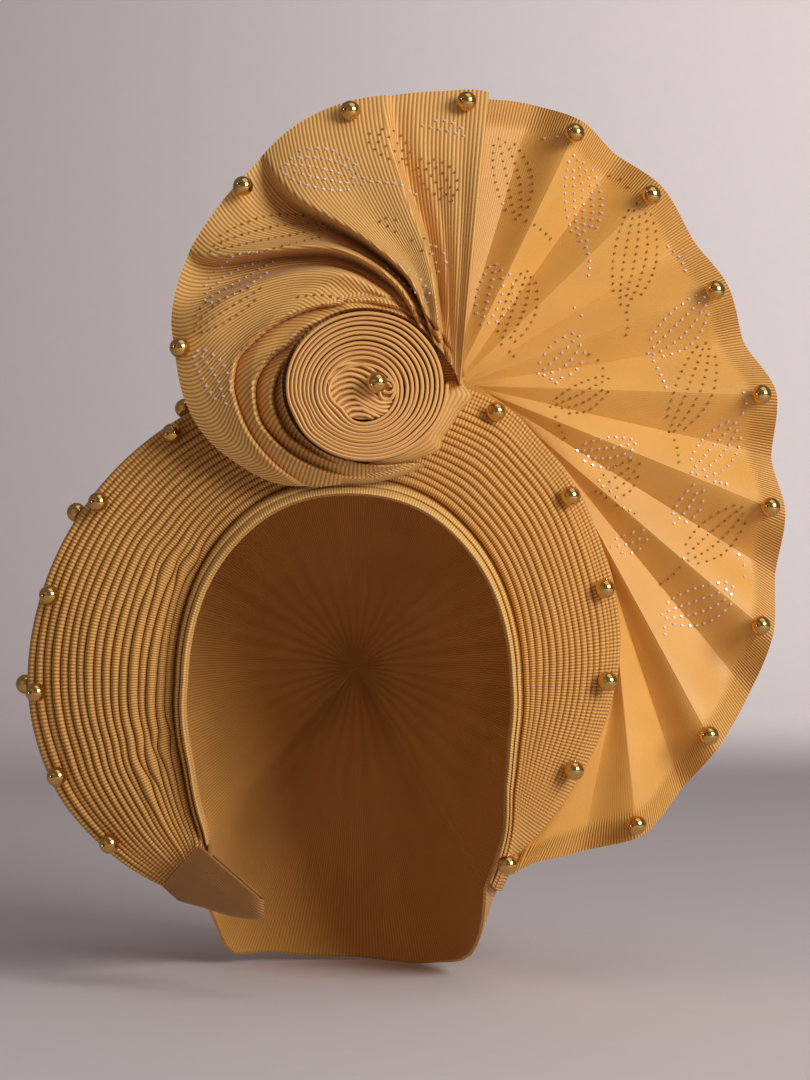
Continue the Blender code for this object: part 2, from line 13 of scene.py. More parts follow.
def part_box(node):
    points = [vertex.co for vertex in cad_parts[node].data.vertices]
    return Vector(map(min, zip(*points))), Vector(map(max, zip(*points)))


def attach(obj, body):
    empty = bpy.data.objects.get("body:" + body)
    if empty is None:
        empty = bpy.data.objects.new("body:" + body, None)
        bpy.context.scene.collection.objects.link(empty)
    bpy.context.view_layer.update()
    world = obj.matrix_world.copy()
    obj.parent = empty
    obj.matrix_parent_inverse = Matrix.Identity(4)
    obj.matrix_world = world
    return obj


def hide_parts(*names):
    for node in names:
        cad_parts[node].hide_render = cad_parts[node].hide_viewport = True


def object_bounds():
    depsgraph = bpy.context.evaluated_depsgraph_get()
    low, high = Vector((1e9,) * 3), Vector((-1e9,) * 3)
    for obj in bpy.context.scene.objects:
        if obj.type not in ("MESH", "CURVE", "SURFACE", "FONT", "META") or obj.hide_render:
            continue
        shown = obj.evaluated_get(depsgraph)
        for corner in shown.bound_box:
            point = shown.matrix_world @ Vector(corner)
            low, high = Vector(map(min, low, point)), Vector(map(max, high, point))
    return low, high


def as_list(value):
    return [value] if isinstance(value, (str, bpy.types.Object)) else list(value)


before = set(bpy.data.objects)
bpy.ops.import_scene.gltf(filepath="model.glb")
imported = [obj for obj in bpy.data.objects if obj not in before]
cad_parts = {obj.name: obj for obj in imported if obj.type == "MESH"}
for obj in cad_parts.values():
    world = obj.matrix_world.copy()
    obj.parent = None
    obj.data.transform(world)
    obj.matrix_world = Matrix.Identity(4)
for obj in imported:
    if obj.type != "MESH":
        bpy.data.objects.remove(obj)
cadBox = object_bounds()
scene = bpy.context.scene
print("frame loaded:", len(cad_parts), "pieces")

# The head that the cap fits, measured from its front-to-back axis
headShape = {
    "halfWidth": 0.074,
    "halfDepth": 0.092,
    "crownHeight": 0.095,
    "napeDrop": 0.136,
    "fullness": 2.3,
    "napeAngle": (180, 205, 220, 229, 240, 248, 270, 290, 303, 315, 328, 343, 360),
    "napeShare": (0.0, 0.06, 0.17, 0.27, 0.68, 1.0, 1.0, 0.86, 0.52, 0.32, 0.13, 0.03, 0.0),
}


def curveThrough(keys, values, at):
    # value on a smooth curve through a table, with no overshoot
    row = min(max(bisect.bisect_right(keys, at) - 1, 0), len(keys) - 2)

    def rise(i):
        return (values[i + 1] - values[i]) / (keys[i + 1] - keys[i])

    def slope(i):
        if i == 0:
            return rise(0)
        if i == len(keys) - 1:
            return rise(i - 1)
        before, after = rise(i - 1), rise(i)
        return 2 * before * after / (before + after) if before * after > 0 else 0.0

    step = keys[row + 1] - keys[row]
    t = min(max((at - keys[row]) / step, 0.0), 1.0)
    return (
        values[row] * (1 + 2 * t) * (1 - t) ** 2
        + slope(row) * step * t * (1 - t) ** 2
        + values[row + 1] * t * t * (3 - 2 * t)
        + slope(row + 1) * step * t * t * (t - 1)
    )


def smooth(low, high, value):
    t = min(max((value - low) / (high - low), 0.0), 1.0)
    return t * t * (3 - 2 * t)


def place(angle, reach, depth):
    # point at an angle and reach from the head's axis
    a = math.radians(angle)
    return Vector((reach * math.cos(a), depth, -headShape["crownHeight"] + reach * math.sin(a)))


def headReach(angle):
    a = math.radians(angle)
    if math.sin(a) >= 0:
        return 1 / math.hypot(math.cos(a) / headShape["halfWidth"], math.sin(a) / headShape["crownHeight"])
    share = curveThrough(headShape["napeAngle"], headShape["napeShare"], angle % 360)
    return headShape["halfWidth"] + (headShape["napeDrop"] - headShape["halfWidth"]) * share


def headSection(angle, turn, offset):
    # reach and depth on the head at a turn from the front pole, moved out by an offset
    t = math.radians(turn)
    power = 2 / headShape["fullness"]
    reach = (headReach(angle) + offset) * max(math.sin(t), 0.0) ** power
    depth = -math.copysign(abs(math.cos(t)) ** power, math.cos(t)) * (headShape["halfDepth"] + offset)
    return reach, depth


def headDepth(angle, reach, offset):
    full = headShape["fullness"]
    share = min(reach / (headReach(angle) + offset), 1.0)
    return -(headShape["halfDepth"] + offset) * (1 - share ** full) ** (1 / full)


def headWidthAt(angle, depth, offset):
    full = headShape["fullness"]
    share = min(abs(depth) / (headShape["halfDepth"] + offset), 1.0)
    return (headReach(angle) + offset) * (1 - share ** full) ** (1 / full)


def wander(at, seed, pieces=4, least=0.4, fall=0.7):
    # soft wavering between -1 and 1 along a length, the same on every run; its finer waves are lower
    chance = random.Random(seed)
    total = 0.0
    for k in range(1, pieces + 1):
        phase = at * k * 2 * math.pi + chance.uniform(0, 2 * math.pi)
        total += math.sin(phase) * chance.uniform(least, 1) / k ** fall
    return total / 2


def clothMesh(name, points, faces, corners):
    # a mesh with its place on the cloth in millimetres as UVs
    mesh = bpy.data.meshes.new(name)
    mesh.from_pydata(points, [], faces)
    for loop, corner in zip(mesh.uv_layers.new(name="clothMm").data, corners):
        loop.uv = corner
    return mesh


def makeSheet(name, grid, clothMm, wall, closed=False, sharp=40):
    # cloth: a grid of points that becomes a thin closed sheet
    across, along = len(grid), len(grid[0])
    faces, corners = [], []
    for i in range(across if closed else across - 1):
        for j in range(along - 1):
            k = (i + 1) % across
            faces.append((i * along + j, k * along + j, k * along + j + 1, i * along + j + 1))
            for di, dj in ((0, 0), (1, 0), (1, 1), (0, 1)):
                corners.append(clothMm(i + di, j + dj, (i, j)))
    mesh = clothMesh(name, [p for row in grid for p in row], faces, corners)
    shaped = bmesh.new()
    shaped.from_mesh(mesh)
    bmesh.ops.remove_doubles(shaped, verts=shaped.verts, dist=1e-6)
    shaped.to_mesh(mesh)
    shaped.free()
    made = bpy.data.objects.new(name, mesh)
    scene.collection.objects.link(made)
    thickness = made.modifiers.new("wall", "SOLIDIFY")
    thickness.thickness = wall
    thickness.offset = 0
    finishPiece(made, sharp)
    return made


def finishPiece(made, sharp=40):
    # applies its modifiers and shades it, with creases where faces meet at more than this angle
    bpy.ops.object.select_all(action="DESELECT")
    made.select_set(True)
    bpy.context.view_layer.objects.active = made
    for modifier in list(made.modifiers):
        bpy.ops.object.modifier_apply(modifier=modifier.name)
    bpy.ops.object.shade_smooth_by_angle(angle=math.radians(sharp))


def lengthsAlong(points):
    # running length in millimetres
    total, lengths = 0.0, [0.0]
    for first, second in zip(points, points[1:]):
        total += (second - first).length * 1000
        lengths.append(total)
    return lengths


def flatUv(grid, column=None, row=None):
    # cloth coordinates from the lengths of one line across and one line along
    down = lengthsAlong([line[row if row is not None else len(grid[0]) // 2] for line in grid])
    over = lengthsAlong(grid[column if column is not None else len(grid) // 2])
    last = down[-1] + (down[1] - down[0])

    def clothMm(i, j, cell):
        return (down[i] if i < len(down) else last, over[j])

    return clothMm


# Fitted turban cap, open at the face and the neck
capSettings = {
    "angle": (-57, -45, -32, -17, 0, 30, 60, 90, 120, 150, 180, 200, 219, 229, 235, 245, 255, 270, 285,
              295, 303),
    "turn": (66, 64, 60, 58, 56.5, 55.5, 52, 48, 52, 56, 57, 59, 63, 67, 82, 106, 116, 118, 106, 84, 66),
    "across": 180,
    "along": 40,
    "wall": 0.0012,
    "cadWall": 0.0016,
    "gatherDepth": 0.0004,
    "gathers": 38,
    "sway": 2,  # how far the gathers sway on their way back, and how quickly
    "swayPace": 0.4,
    "gatherFrom": (0.1, 0.35),  # where the gathers begin and end, from the edge (0) to the back (1)
    "gatherTo": (1.0, 0.85),
}


def capTurn(angle):
    return curveThrough(capSettings["angle"], capSettings["turn"], angle)


def buildCap():
    s = capSettings
    grid = []
    for i in range(s["across"]):
        angle = s["angle"][0] + 360 * i / s["across"]
        edge = capTurn(angle)
        line = []
        for j in range(s["along"] + 1):
            v = j / s["along"]
            turn = edge + (180 - edge) * v
            # soft gathers that run to the back
            phase = math.radians(angle) * s["gathers"] + s["sway"] * wander(v * s["swayPace"], 3)
            gather = s["gatherDepth"] * math.sin(phase)
            offset = s["cadWall"] / 2 + gather * smooth(*s["gatherFrom"], v) * smooth(*s["gatherTo"], v)
            line.append(place(angle, *headSection(angle, turn, offset)))
        grid.append(line)
    return makeSheet("capCloth", grid, flatUv(grid, row=8), s["wall"], closed=True)


# Folded band round the face, two narrow folds side by side
bandSettings = {
    "width": 0.0062,
    "thickness": 0.0028,
    "steps": 8,  # across each fold
    "edgeHeight": 0.62,  # share of the thickness at the valley between two folds
    "outerHeight": 0.35,  # and at the two outer edges
    "waver": 0.00012,
    "angle": (-57, -20, 20, 60, 90, 120, 160, 200, 229),
    "share": (0.5, 0.6, 0.7, 0.9, 1.0, 1.0, 0.75, 0.65, 0.6),
    "sections": 260,
    "foldEdges": (0.0, 0.53, 1.0),
    "seatGap": 0.0004,
    "roundness": 0.55,  # power that shapes each fold's curve
    "waverAbove": 0.3,  # only what stands above this share of the thickness wavers
}


def faceEdge(angle):
    return headSection(angle, capTurn(angle), capSettings["cadWall"] / 2)


def bandWidth(angle):
    return bandSettings["width"] * curveThrough(bandSettings["angle"], bandSettings["share"], angle)


def slopeStretch(angle, reach):
    # how much longer a gap gets when it is measured front to back on the head's slope
    step = 0.0004
    return math.hypot(1, (headDepth(angle, reach + step, 0) - headDepth(angle, reach, 0)) / step)


def bandDepthAt(angle, reach, lift):
    return headDepth(angle, reach, 0) - lift * slopeStretch(angle, reach)


def buildBand():
    s = bandSettings
    under = capSettings["cadWall"] + s["seatGap"]
    profile = [(0.0, 0.0)]
    for low, high in zip(s["foldEdges"], s["foldEdges"][1:]):
        for k in range(s["steps"] + 1):
            t = k / s["steps"]
            tall = s["edgeHeight"]
            if 0 < t < 1:
                tall += (1 - tall) * math.sin(math.pi * t) ** s["roundness"]
            elif (low, t) == (0.0, 0) or (high, t) == (1.0, 1):
                tall = s["outerHeight"]
            profile.append((low + (high - low) * t, tall))
    profile += [(1.0, 0.0), (0.5, 0.0)]
    grid = []
    for i in range(s["sections"] + 1):
        angle = haloSettings["left"] + (haloSettings["right"] - haloSettings["left"]) * i / s["sections"]
        inner, width = faceEdge(angle)[0], bandWidth(angle)
        line = []
        for across, tall in profile:
            waver = s["waver"] * wander(i / s["sections"] * 3, 11 + int(across * 3))
            reach = inner + width * across
            lift = under + s["thickness"] * tall + (waver if tall > s["waverAbove"] else 0)
            line.append(place(angle, reach, bandDepthAt(angle, reach, lift)))
        grid.append(line)
    down = lengthsAlong([line[5] for line in grid])
    over = lengthsAlong(grid[len(grid) // 2] + [grid[len(grid) // 2][0]])
    count = len(profile)
    faces, corners = [], []
    for i in range(s["sections"]):
        for k in range(count):
            nextK = (k + 1) % count
            faces.append((i * count + k, i * count + nextK, (i + 1) * count + nextK, (i + 1) * count + k))
            for di, dk in ((0, 0), (0, 1), (1, 1), (1, 0)):
                corners.append((down[i + di], over[k + dk]))
    faces.append(tuple(range(count)))
    corners += [(down[0], over[k]) for k in range(count)]
    faces.append(tuple(reversed(range(s["sections"] * count, (s["sections"] + 1) * count))))
    corners += [(down[-1], over[k]) for k in reversed(range(count))]
    mesh = clothMesh("bandCloth", [p for line in grid for p in line], faces, corners)
    shaped = bmesh.new()
    shaped.from_mesh(mesh)
    bmesh.ops.recalc_face_normals(shaped, faces=shaped.faces)
    shaped.to_mesh(mesh)
    shaped.free()
    made = bpy.data.objects.new("bandCloth", mesh)
    scene.collection.objects.link(made)
    finishPiece(made, 60)
    return made


# Pleated halo, from the band out to its beaded rim
haloSettings = {
    "reach": 0.129,
    "gap": 0.0011,
    "rimDepth": 0.038,
    "bulge": 0.005,
    "left": 229,
    "right": -55,
    "rimAngle": (-56, -40, -25, -10, 8, 20, 30, 42, 52, 61, 70, 80, 95, 120, 140, 160, 180, 198, 214, 229),
    "rimShare": (0.738, 0.752, 0.768, 0.800, 0.846, 0.868, 0.890, 0.925, 0.950, 0.977, 0.975, 0.968,
                 0.955, 0.968, 0.980, 0.992, 1.0, 0.980, 0.925, 0.858),
    "bandShare": 0.75,  # how high the inner edge stands, as a share of the band's thickness
    "pleats": 17,
    "pleatHeight": 0.0026,
    "pleatWidth": 0.0027,  # narrower pleats are lower too
    "pleatMm": 7.2,  # cloth in one pleat
    "lean": 0.1,
    "innerBack": 0.0016,  # how far the inner edge and the valleys lie behind the halo's surface
    "valleyBack": 0.0012,
    "sections": 250,
    "wall": 0.0007,
    "rimPleats": 4,  # the outer pleats that are narrow at the right
    "tuck": 0.0016,  # how far the inner edge runs in under the band
    "pleatSteps": (0.0, 0.1, 0.22, 0.36, 0.5, 0.64, 0.78, 0.9),  # places across one pleat
    "roundness": 0.75,  # power that shapes each pleat's curve
    "evenHeight": 0.95,  # a pleat's height, and how far it sways
    "heightSway": 0.2,
    "fullWidth": 1.15,  # pleats wider than this are no taller
    "leastWidth": 0.25,
    "tuckLength": -0.4,  # cloth pushed in under the band, in pleats
    "widthSway": 0.3,  # how far a pleat's width sways, how quickly, and how that moves on to the next
    "swayPace": 1.6,
    "swayShift": 0.11,
    "rimWidth": 0.55,  # width of the outer pleats at the right, and what they gain towards the left
    "rimGain": 0.4,
    "rimGainFrom": (0.4, 0.6),
    "jogs": ((196, 5), (142, 4)),  # angle and pleat of each place where the pleats jog
    "jogShift": 2.2,  # how far a jog turns from pleat to pleat, in degrees
    "jogSpread": 4,
    "jogWidth": (-0.5, 0.75),  # what even and odd pleats gain there
    "jogFade": (3, -2),
}


def haloSpan(angle):
    s = haloSettings
    inner = faceEdge(angle)[0] + bandWidth(angle) + s["gap"]
    lift = capSettings["cadWall"] + bandSettings["seatGap"] + bandSettings["thickness"] * s["bandShare"]
    lift *= slopeStretch(angle, inner)
    rim = s["reach"] * curveThrough(s["rimAngle"], s["rimShare"], angle)
    rim = max(rim, inner + capSettings["cadWall"])
    return inner, headDepth(angle, inner, 0) - lift, rim, -s["rimDepth"]


def haloSurface(span, across):
    inner, innerDepth, rim, rimDepth = span
    width = rim - inner
    full = min(width / (haloSettings["reach"] / 2), 1)
    bulge = haloSettings["bulge"] * 4 * across * (1 - across) * full
    return inner + width * across, innerDepth + (rimDepth - innerDepth) * across - bulge


def pleatEdges(angle):
    # where each pleat starts and ends, from the band (0) to the rim (1)
    s = haloSettings
    turned = (angle - s["right"]) / (s["left"] - s["right"])
    widths = []
    for k in range(s["pleats"]):
        width = 1 + s["widthSway"] * wander(turned * s["swayPace"] + k * s["swayShift"], 40 + k, 4)
        if k >= s["pleats"] - s["rimPleats"]:
            width *= s["rimWidth"] + s["rimGain"] * smooth(*s["rimGainFrom"], turned)
        # the pleats jog where the cloth was pinned, at the left of the face and over its corner
        for middle, inward in s["jogs"]:
            off = (angle - middle - k * s["jogShift"]) / s["jogSpread"]
            jog = math.exp(-off ** 2) * s["jogWidth"][k % 2]
            width += jog * smooth(inward + s["jogFade"][0], inward + s["jogFade"][1], k)
        widths.append(max(width, s["leastWidth"]))
    total, edges = 0.0, [0.0]
    for width in widths:
        total += width
        edges.append(total)
    return [edge / total for edge in edges]


def buildHalo():
    s = haloSettings
    grid, over = [], []
    for i in range(s["sections"] + 1):
        angle = s["left"] + (s["right"] - s["left"]) * i / s["sections"]
        span = haloSpan(angle)
        edges = pleatEdges(angle)
        fit = min(1.0, (span[2] - span[0]) / s["pleats"] / s["pleatWidth"])
        reach, depth = haloSurface(span, 0.0)
        line = [place(angle, reach - s["tuck"], depth + s["innerBack"])]
        lengths = [s["tuckLength"]]
        for k in range(s["pleats"]):
            width = (edges[k + 1] - edges[k]) * s["pleats"]
            uneven = s["evenHeight"] + s["heightSway"] * wander(i / s["sections"] * 2, 80 + k, 3)
            tall = s["pleatHeight"] * fit * min(width, s["fullWidth"]) * uneven
            for t in s["pleatSteps"]:
                # each pleat leans out over the next one
                leant = t + s["lean"] * math.sin(math.pi * t)
                across = edges[k] + (edges[k + 1] - edges[k]) * leant
                height = tall * math.sin(math.pi * t) ** s["roundness"] if t else 0.0
                reach, depth = haloSurface(span, across)
                line.append(place(angle, reach, depth + s["valleyBack"] - height))
                lengths.append(k + t)
        reach, depth = haloSurface(span, 1.0)
        line.append(place(angle, reach, depth + s["valleyBack"]))
        grid.append(line)
        over.append(lengths + [s["pleats"]])
    down = lengthsAlong([line[len(line) * 2 // 3] for line in grid])

    def clothMm(i, j, cell):
        return (down[i], over[i][j] * s["pleatMm"])

    return makeSheet("haloPleats", grid, clothMm, s["wall"], sharp=75)


# Wall behind the halo, gathered in to the cap
wrapSettings = {
    "turn": 107.0,
    "offset": 0.0031,
    "endReach": 16,
    "sections": 240,
    "rings": 26,
    "wall": 0.001,
    "gathers": 44,
    "gatherDepth": 0.0011,
    "tuck": 0.001,  # how far the front edge is pushed in behind the halo
    "spread": -0.7,  # how far the sections crowd towards the two ends
    "roundness": 0.8,  # power that shapes the wall's curve
    "endPace": 4,  # how soon the wall narrows at its two ends
    "rimSway": 1.5,  # how far the gathers sway along the rim, and on their way back
    "backSway": 0.8,
    "gatherFrom": (0.02, 0.4),  # where the gathers begin and end, from the rim (0) to the cap (1)
    "gatherTo": (1.0, 0.93),
    "gatherSink": 0.6,  # share of a gather that lies below the wall
}


def wrapStart():
    return -haloSettings["rimDepth"] + capSettings["cadWall"] + bandSettings["seatGap"]


def wrapSection(angle, along):
    s = wrapSettings
    rim = haloSpan(angle)[2] - capSettings["cadWall"] / 2
    start = wrapStart()
    foot, end = headSection(angle, s["turn"], s["offset"])
    turn = math.radians(90 * along)
    reach = foot + max(rim - foot, 0) * max(math.cos(turn), 0.0) ** s["roundness"]
    depth = start + (end - start) * math.sin(turn)
    cap = headWidthAt(angle, depth, s["offset"])
    toEnd = min(haloSettings["left"] - angle, angle - haloSettings["right"], s["endReach"]) / s["endReach"]
    fullness = 1 - (1 - max(toEnd, 0)) ** 2 * min(along * s["endPace"], 1)
    return max(cap + (reach - cap) * fullness, cap), depth


def wrapReachAt(angle, depth):
    start = wrapStart()
    end = headSection(angle, wrapSettings["turn"], wrapSettings["offset"])[1]
    along = math.asin(min(max((depth - start) / (end - start), 0), 1)) / math.radians(90)
    return wrapSection(angle, along)[0]


def buildWrap():
    s = wrapSettings
    grid = []
    for i in range(s["sections"] + 1):
        u = i / s["sections"]
        spread = u + (u - (1 - math.cos(math.pi * u)) / 2) * s["spread"]
        angle = haloSettings["left"] + (haloSettings["right"] - haloSettings["left"]) * spread
        line = []
        for j in range(s["rings"] + 1):
            v = j / s["rings"]
            reach, depth = wrapSection(angle, v)
            phase = math.radians(angle) * s["gathers"] + s["rimSway"] * wander(spread * 3, 7)
            phase += s["backSway"] * wander(v, 9)
            fade = smooth(*s["gatherFrom"], v) * smooth(*s["gatherTo"], v)
            gather = s["gatherDepth"] * (abs(math.sin(phase / 2)) - s["gatherSink"]) * fade
            line.append(place(angle, reach + gather, depth - (s["tuck"] if j == 0 else 0)))
        grid.append(line)
    return makeSheet("wrapCloth", grid, flatUv(grid, row=4), s["wall"])


# Accordion fan behind the halo. Each column is a fold: its foot on the wall, its outer end from the hub
# in degrees and as a share of the reach, how far behind the rim it lies, and ridge (1) or valley (-1).
fanSettings = {
    "reach": 0.200,
    "hubClearance": 0.003,
    "rootGap": 0.0015,
    "hubAngle": 69.5,
    "setback": 0.022,
    "foldDepth": 0.013,
    "seat": (73.5, 71.5, 70.5, 70, 69.5, 69, 68.5, 67.8, 67, 65.8, 64, 59.5, 54, 49.5, 45, 34, 22, 0, -20,
             -48),
    "aim": (95, 75.5, 65.5, 55.5, 44.6, 32, 20, 9, -2.2, -12.7, -21.9, -31, -39.1, -46.9, -55.2, -61.4,
            -68.9, -75.5, -80.5, -84.1),
    "outer": (0.570, 0.588, 0.582, 0.568, 0.570, 0.562, 0.578, 0.588, 0.643, 0.655, 0.711, 0.755, 0.816,
              0.868, 0.908, 0.945, 0.990, 0.985, 0.985, 1.003),
    "back": (0.62, 0.75, 0.8, 0.95, 1.0, 1.05, 1.1, 1.15, 1.15, 1.15, 1.15, 1.15, 1.1, 1.1, 1.05, 1.0, 0.95,
             0.9, 0.85, 0.75),
    "fold": (-0.3, -1, 1, -1, 1, -1, 1, -1, 1, -1, 1, -1, 1, -1, 1, -1, 1, -0.8, -0.2, 0.2),
    "seatAngle": (-50, 50, 62, 72),
    "seatSetback": (0.9, 0.9, 0.7, 0.42),
    "stepsPerFold": (0.0, 0.04, 0.14, 0.3, 0.5, 0.7, 0.86, 0.96),
    "rings": 72,
    "wall": 0.0008,
    "footReach": 0.0056,
    "hubFrom": 60,  # from this angle on, the feet of the folds draw up to the hub
    "softness": 0.12,  # how soft the folds are near the hub, and how much softer at the rim
    "rimSoftness": 0.6,
    "softFrom": (0.55, 1.0),
    "foldRise": 0.9,  # power that shapes how a fold deepens on its way to the rim
    "shortFold": 1.7,  # how soon short folds come to their full depth
}


def fanHub():
    s = fanSettings
    reach = wrapReachAt(s["hubAngle"], -haloSettings["rimDepth"]) + s["hubClearance"]
    return place(s["hubAngle"], reach, 0)


def fanRow(index):
    s = fanSettings
    order = list(range(len(s["seat"])))
    seat, aim, outer, back = (curveThrough(order, s[c], index) for c in ("seat", "aim", "outer", "back"))
    setback = curveThrough(s["seatAngle"], s["seatSetback"], seat)
    seatDepth = -haloSettings["rimDepth"] + s["setback"] * setback
    wall = wrapReachAt(seat, seatDepth - capSettings["cadWall"]) + capSettings["cadWall"] + s["rootGap"]
    hub = fanHub()
    nearHub = min(max((seat - s["hubFrom"]) / (s["hubAngle"] - s["hubFrom"]), 0), 1)
    inner = place(seat, wall + (s["hubClearance"] - s["rootGap"]) * nearHub, seatDepth)
    a = math.radians(aim)
    outerEnd = Vector((
        hub.x + s["reach"] * outer * math.cos(a),
        -haloSettings["rimDepth"] + s["setback"] * back,
        hub.z + s["reach"] * outer * math.sin(a),
    ))
    return inner, outerEnd


def fanAt(index, along, ends=None):
    # point on the fan: sharp folds near the hub that soften towards the rim
    s = fanSettings
    inner, outer = ends or fanRow(index)
    low = min(int(index), len(s["fold"]) - 2)
    share = index - low
    soft = (1 - math.cos(math.pi * share)) / 2
    mix = share + (soft - share) * (s["softness"] + s["rimSoftness"] * smooth(*s["softFrom"], along))
    fold = s["fold"][low] * (1 - mix) + s["fold"][low + 1] * mix
    point = inner.lerp(outer, along)
    reach = (outer - inner).length / s["reach"]
    point.y -= s["foldDepth"] / 2 * fold * along ** s["foldRise"] * min(reach * s["shortFold"], 1)
    return point


def buildFan():
    s = fanSettings
    indices = [k + t for k in range(len(s["seat"]) - 1) for t in s["stepsPerFold"]] + [len(s["seat"]) - 1]
    grid = []
    for index in indices:
        ends = fanRow(index)
        line = [fanAt(index, j / s["rings"], ends) for j in range(s["rings"] + 1)]
        # the foot of each fold runs on to the wall behind the halo
        toWall = place(0, 0, 0) - Vector((ends[0].x, 0, ends[0].z))
        foot = line[0] + toWall.normalized() * s["footReach"] + Vector((0, s["footReach"] / 4, 0))
        grid.append([foot] + line)
    rim = lengthsAlong([line[-1] for line in grid])
    lengths = [lengthsAlong(line) for line in grid]

    def clothMm(i, j, cell):
        return (rim[i], lengths[i][j] - lengths[i][-1])

    return makeSheet("fanCloth", grid, clothMm, s["wall"], sharp=24)


# Rosette: one folded strip wound on its edge. It starts in a small coil at the right of the middle,
# swings round to the left, and winds out from there; the strip's first folds lie side by side in the
# space at the left.
rosetteSettings = {
    "x": 0.0065,
    "z": 0.0215,
    "radius": 0.032,
    "height": 0.020,
    "flattening": 0.94,
    "lean": 0.16,
    "skirtClearance": 0.0003,
    "coilAt": (0.0087, -0.0015),
    "coilTurns": 1.5,
    "coilRadius": (0.0012, 0.0034),
    "loopAt": (-0.0012, -0.0034),
    "loopRadius": 0.0128,
    "outerAt": (0.0006, -0.0004),
    "outerTurns": 10.5,
    "stepsPerTurn": 84,
    "pitch": (0.0012, 0.0026),  # least and most from one turn to the next
    "foldWidth": 0.68,  # share of the pitch that one folded edge fills
    "wall": 0.0003,
    "backSides": 60,
    "backRings": 8,
    "backings": ((0.031, -0.0002), (0.0148, -0.0172)),  # radius and depth of the rounds behind the folds
    # the first folds: start, bends and end of each, in millimetres from the rosette's centre
    "firstFolds": (
        ((-13.6, 3.6), (-10.6, 6.4), (-6.2, 7.7), (-1.6, 7.2), (2.2, 5.6), (4.6, 4.2)),
        ((-13.9, 1.6), (-10.4, 4.4), (-6.0, 5.7), (-1.8, 4.9), (1.4, 3.4), (3.8, 2.0)),
        ((-14.0, -0.4), (-10.2, 2.4), (-6.0, 3.6), (-2.0, 2.6), (1.0, 0.4), (3.4, -2.0)),
        ((-13.9, -2.4), (-10.0, 0.3), (-5.6, 1.4), (-1.6, -0.2), (1.8, -3.2), (5.8, -5.6), (9.4, -6.2),
         (12.0, -4.4)),
        ((-13.2, -4.4), (-9.6, -1.8), (-5.4, -0.8), (-1.4, -2.7), (2.6, -5.6), (6.6, -7.5), (10.6, -7.2)),
        ((-12.0, -6.2), (-9.0, -3.9), (-5.0, -3.0), (-1.0, -5.0), (3.0, -7.6), (7.0, -9.2), (11.0, -8.8)),
        ((-10.4, -7.8), (-7.6, -5.9), (-4.4, -5.2), (-0.8, -7.1), (3.2, -9.3), (7.0, -10.8), (10.4, -10.8)),
        ((-8.8, -9.4), (-6.0, -7.9), (-3.0, -7.5), (0.8, -9.3), (4.4, -11.1), (8.4, -12.4)),
        ((-7.2, -11.0), (-4.4, -9.8), (-1.4, -9.8), (2.0, -11.4), (5.8, -13.0)),
        ((-5.8, -12.6), (-3.0, -12.0), (0.0, -12.2), (3.4, -13.6)),
    ),
    "firstWidth": 0.0014,
    "innerFlat": (222, -0.0026, 26),
    "kinks": ((205, -0.0006, 9), (222, 0.0004, 7), (318, -0.0003, 10), (60, 0.0003, 12)),
    "innerFlatTo": (-0.05, 0.5),  # shares of the way out over which the flat and the kinks come and go
    "kinksFrom": (0.3, 0.7),
    "firstRound": (0, 0.1),
    "lastRound": (1.0, 0.93),
    "roundSway": 0.00022,  # how far the rounds sway, and how quickly
    "swayPace": 1.37,
    "evenTurns": 1.6,  # the rounds after this many turns are as wide as the space they have
    "firstShare": 0.75,  # width of the first fold, and what it gains on its first turns
    "widthGain": 0.25,
    "widthSway": 0.08,
    "widthPace": 0.8,
    "outerDrop": 0.05,  # how much lower the last round stands, as a share of the height
    "topSway": 0.03,
    "topPace": 0.9,
    "coilDepth": 0.97,
    "foldSteps": 12,
    "firstTaper": (0.5, 4),  # width at the end of a first fold, and how soon it is full
    "firstTop": 0.985,  # height of the first folds, of every other one, and how it drops at the end
    "everyOther": 0.03,
    "endDrop": 0.06,
    "endDropFrom": (0.8, 1),
    "firstDepth": 0.012,
    "backHole": 0.0001,
}

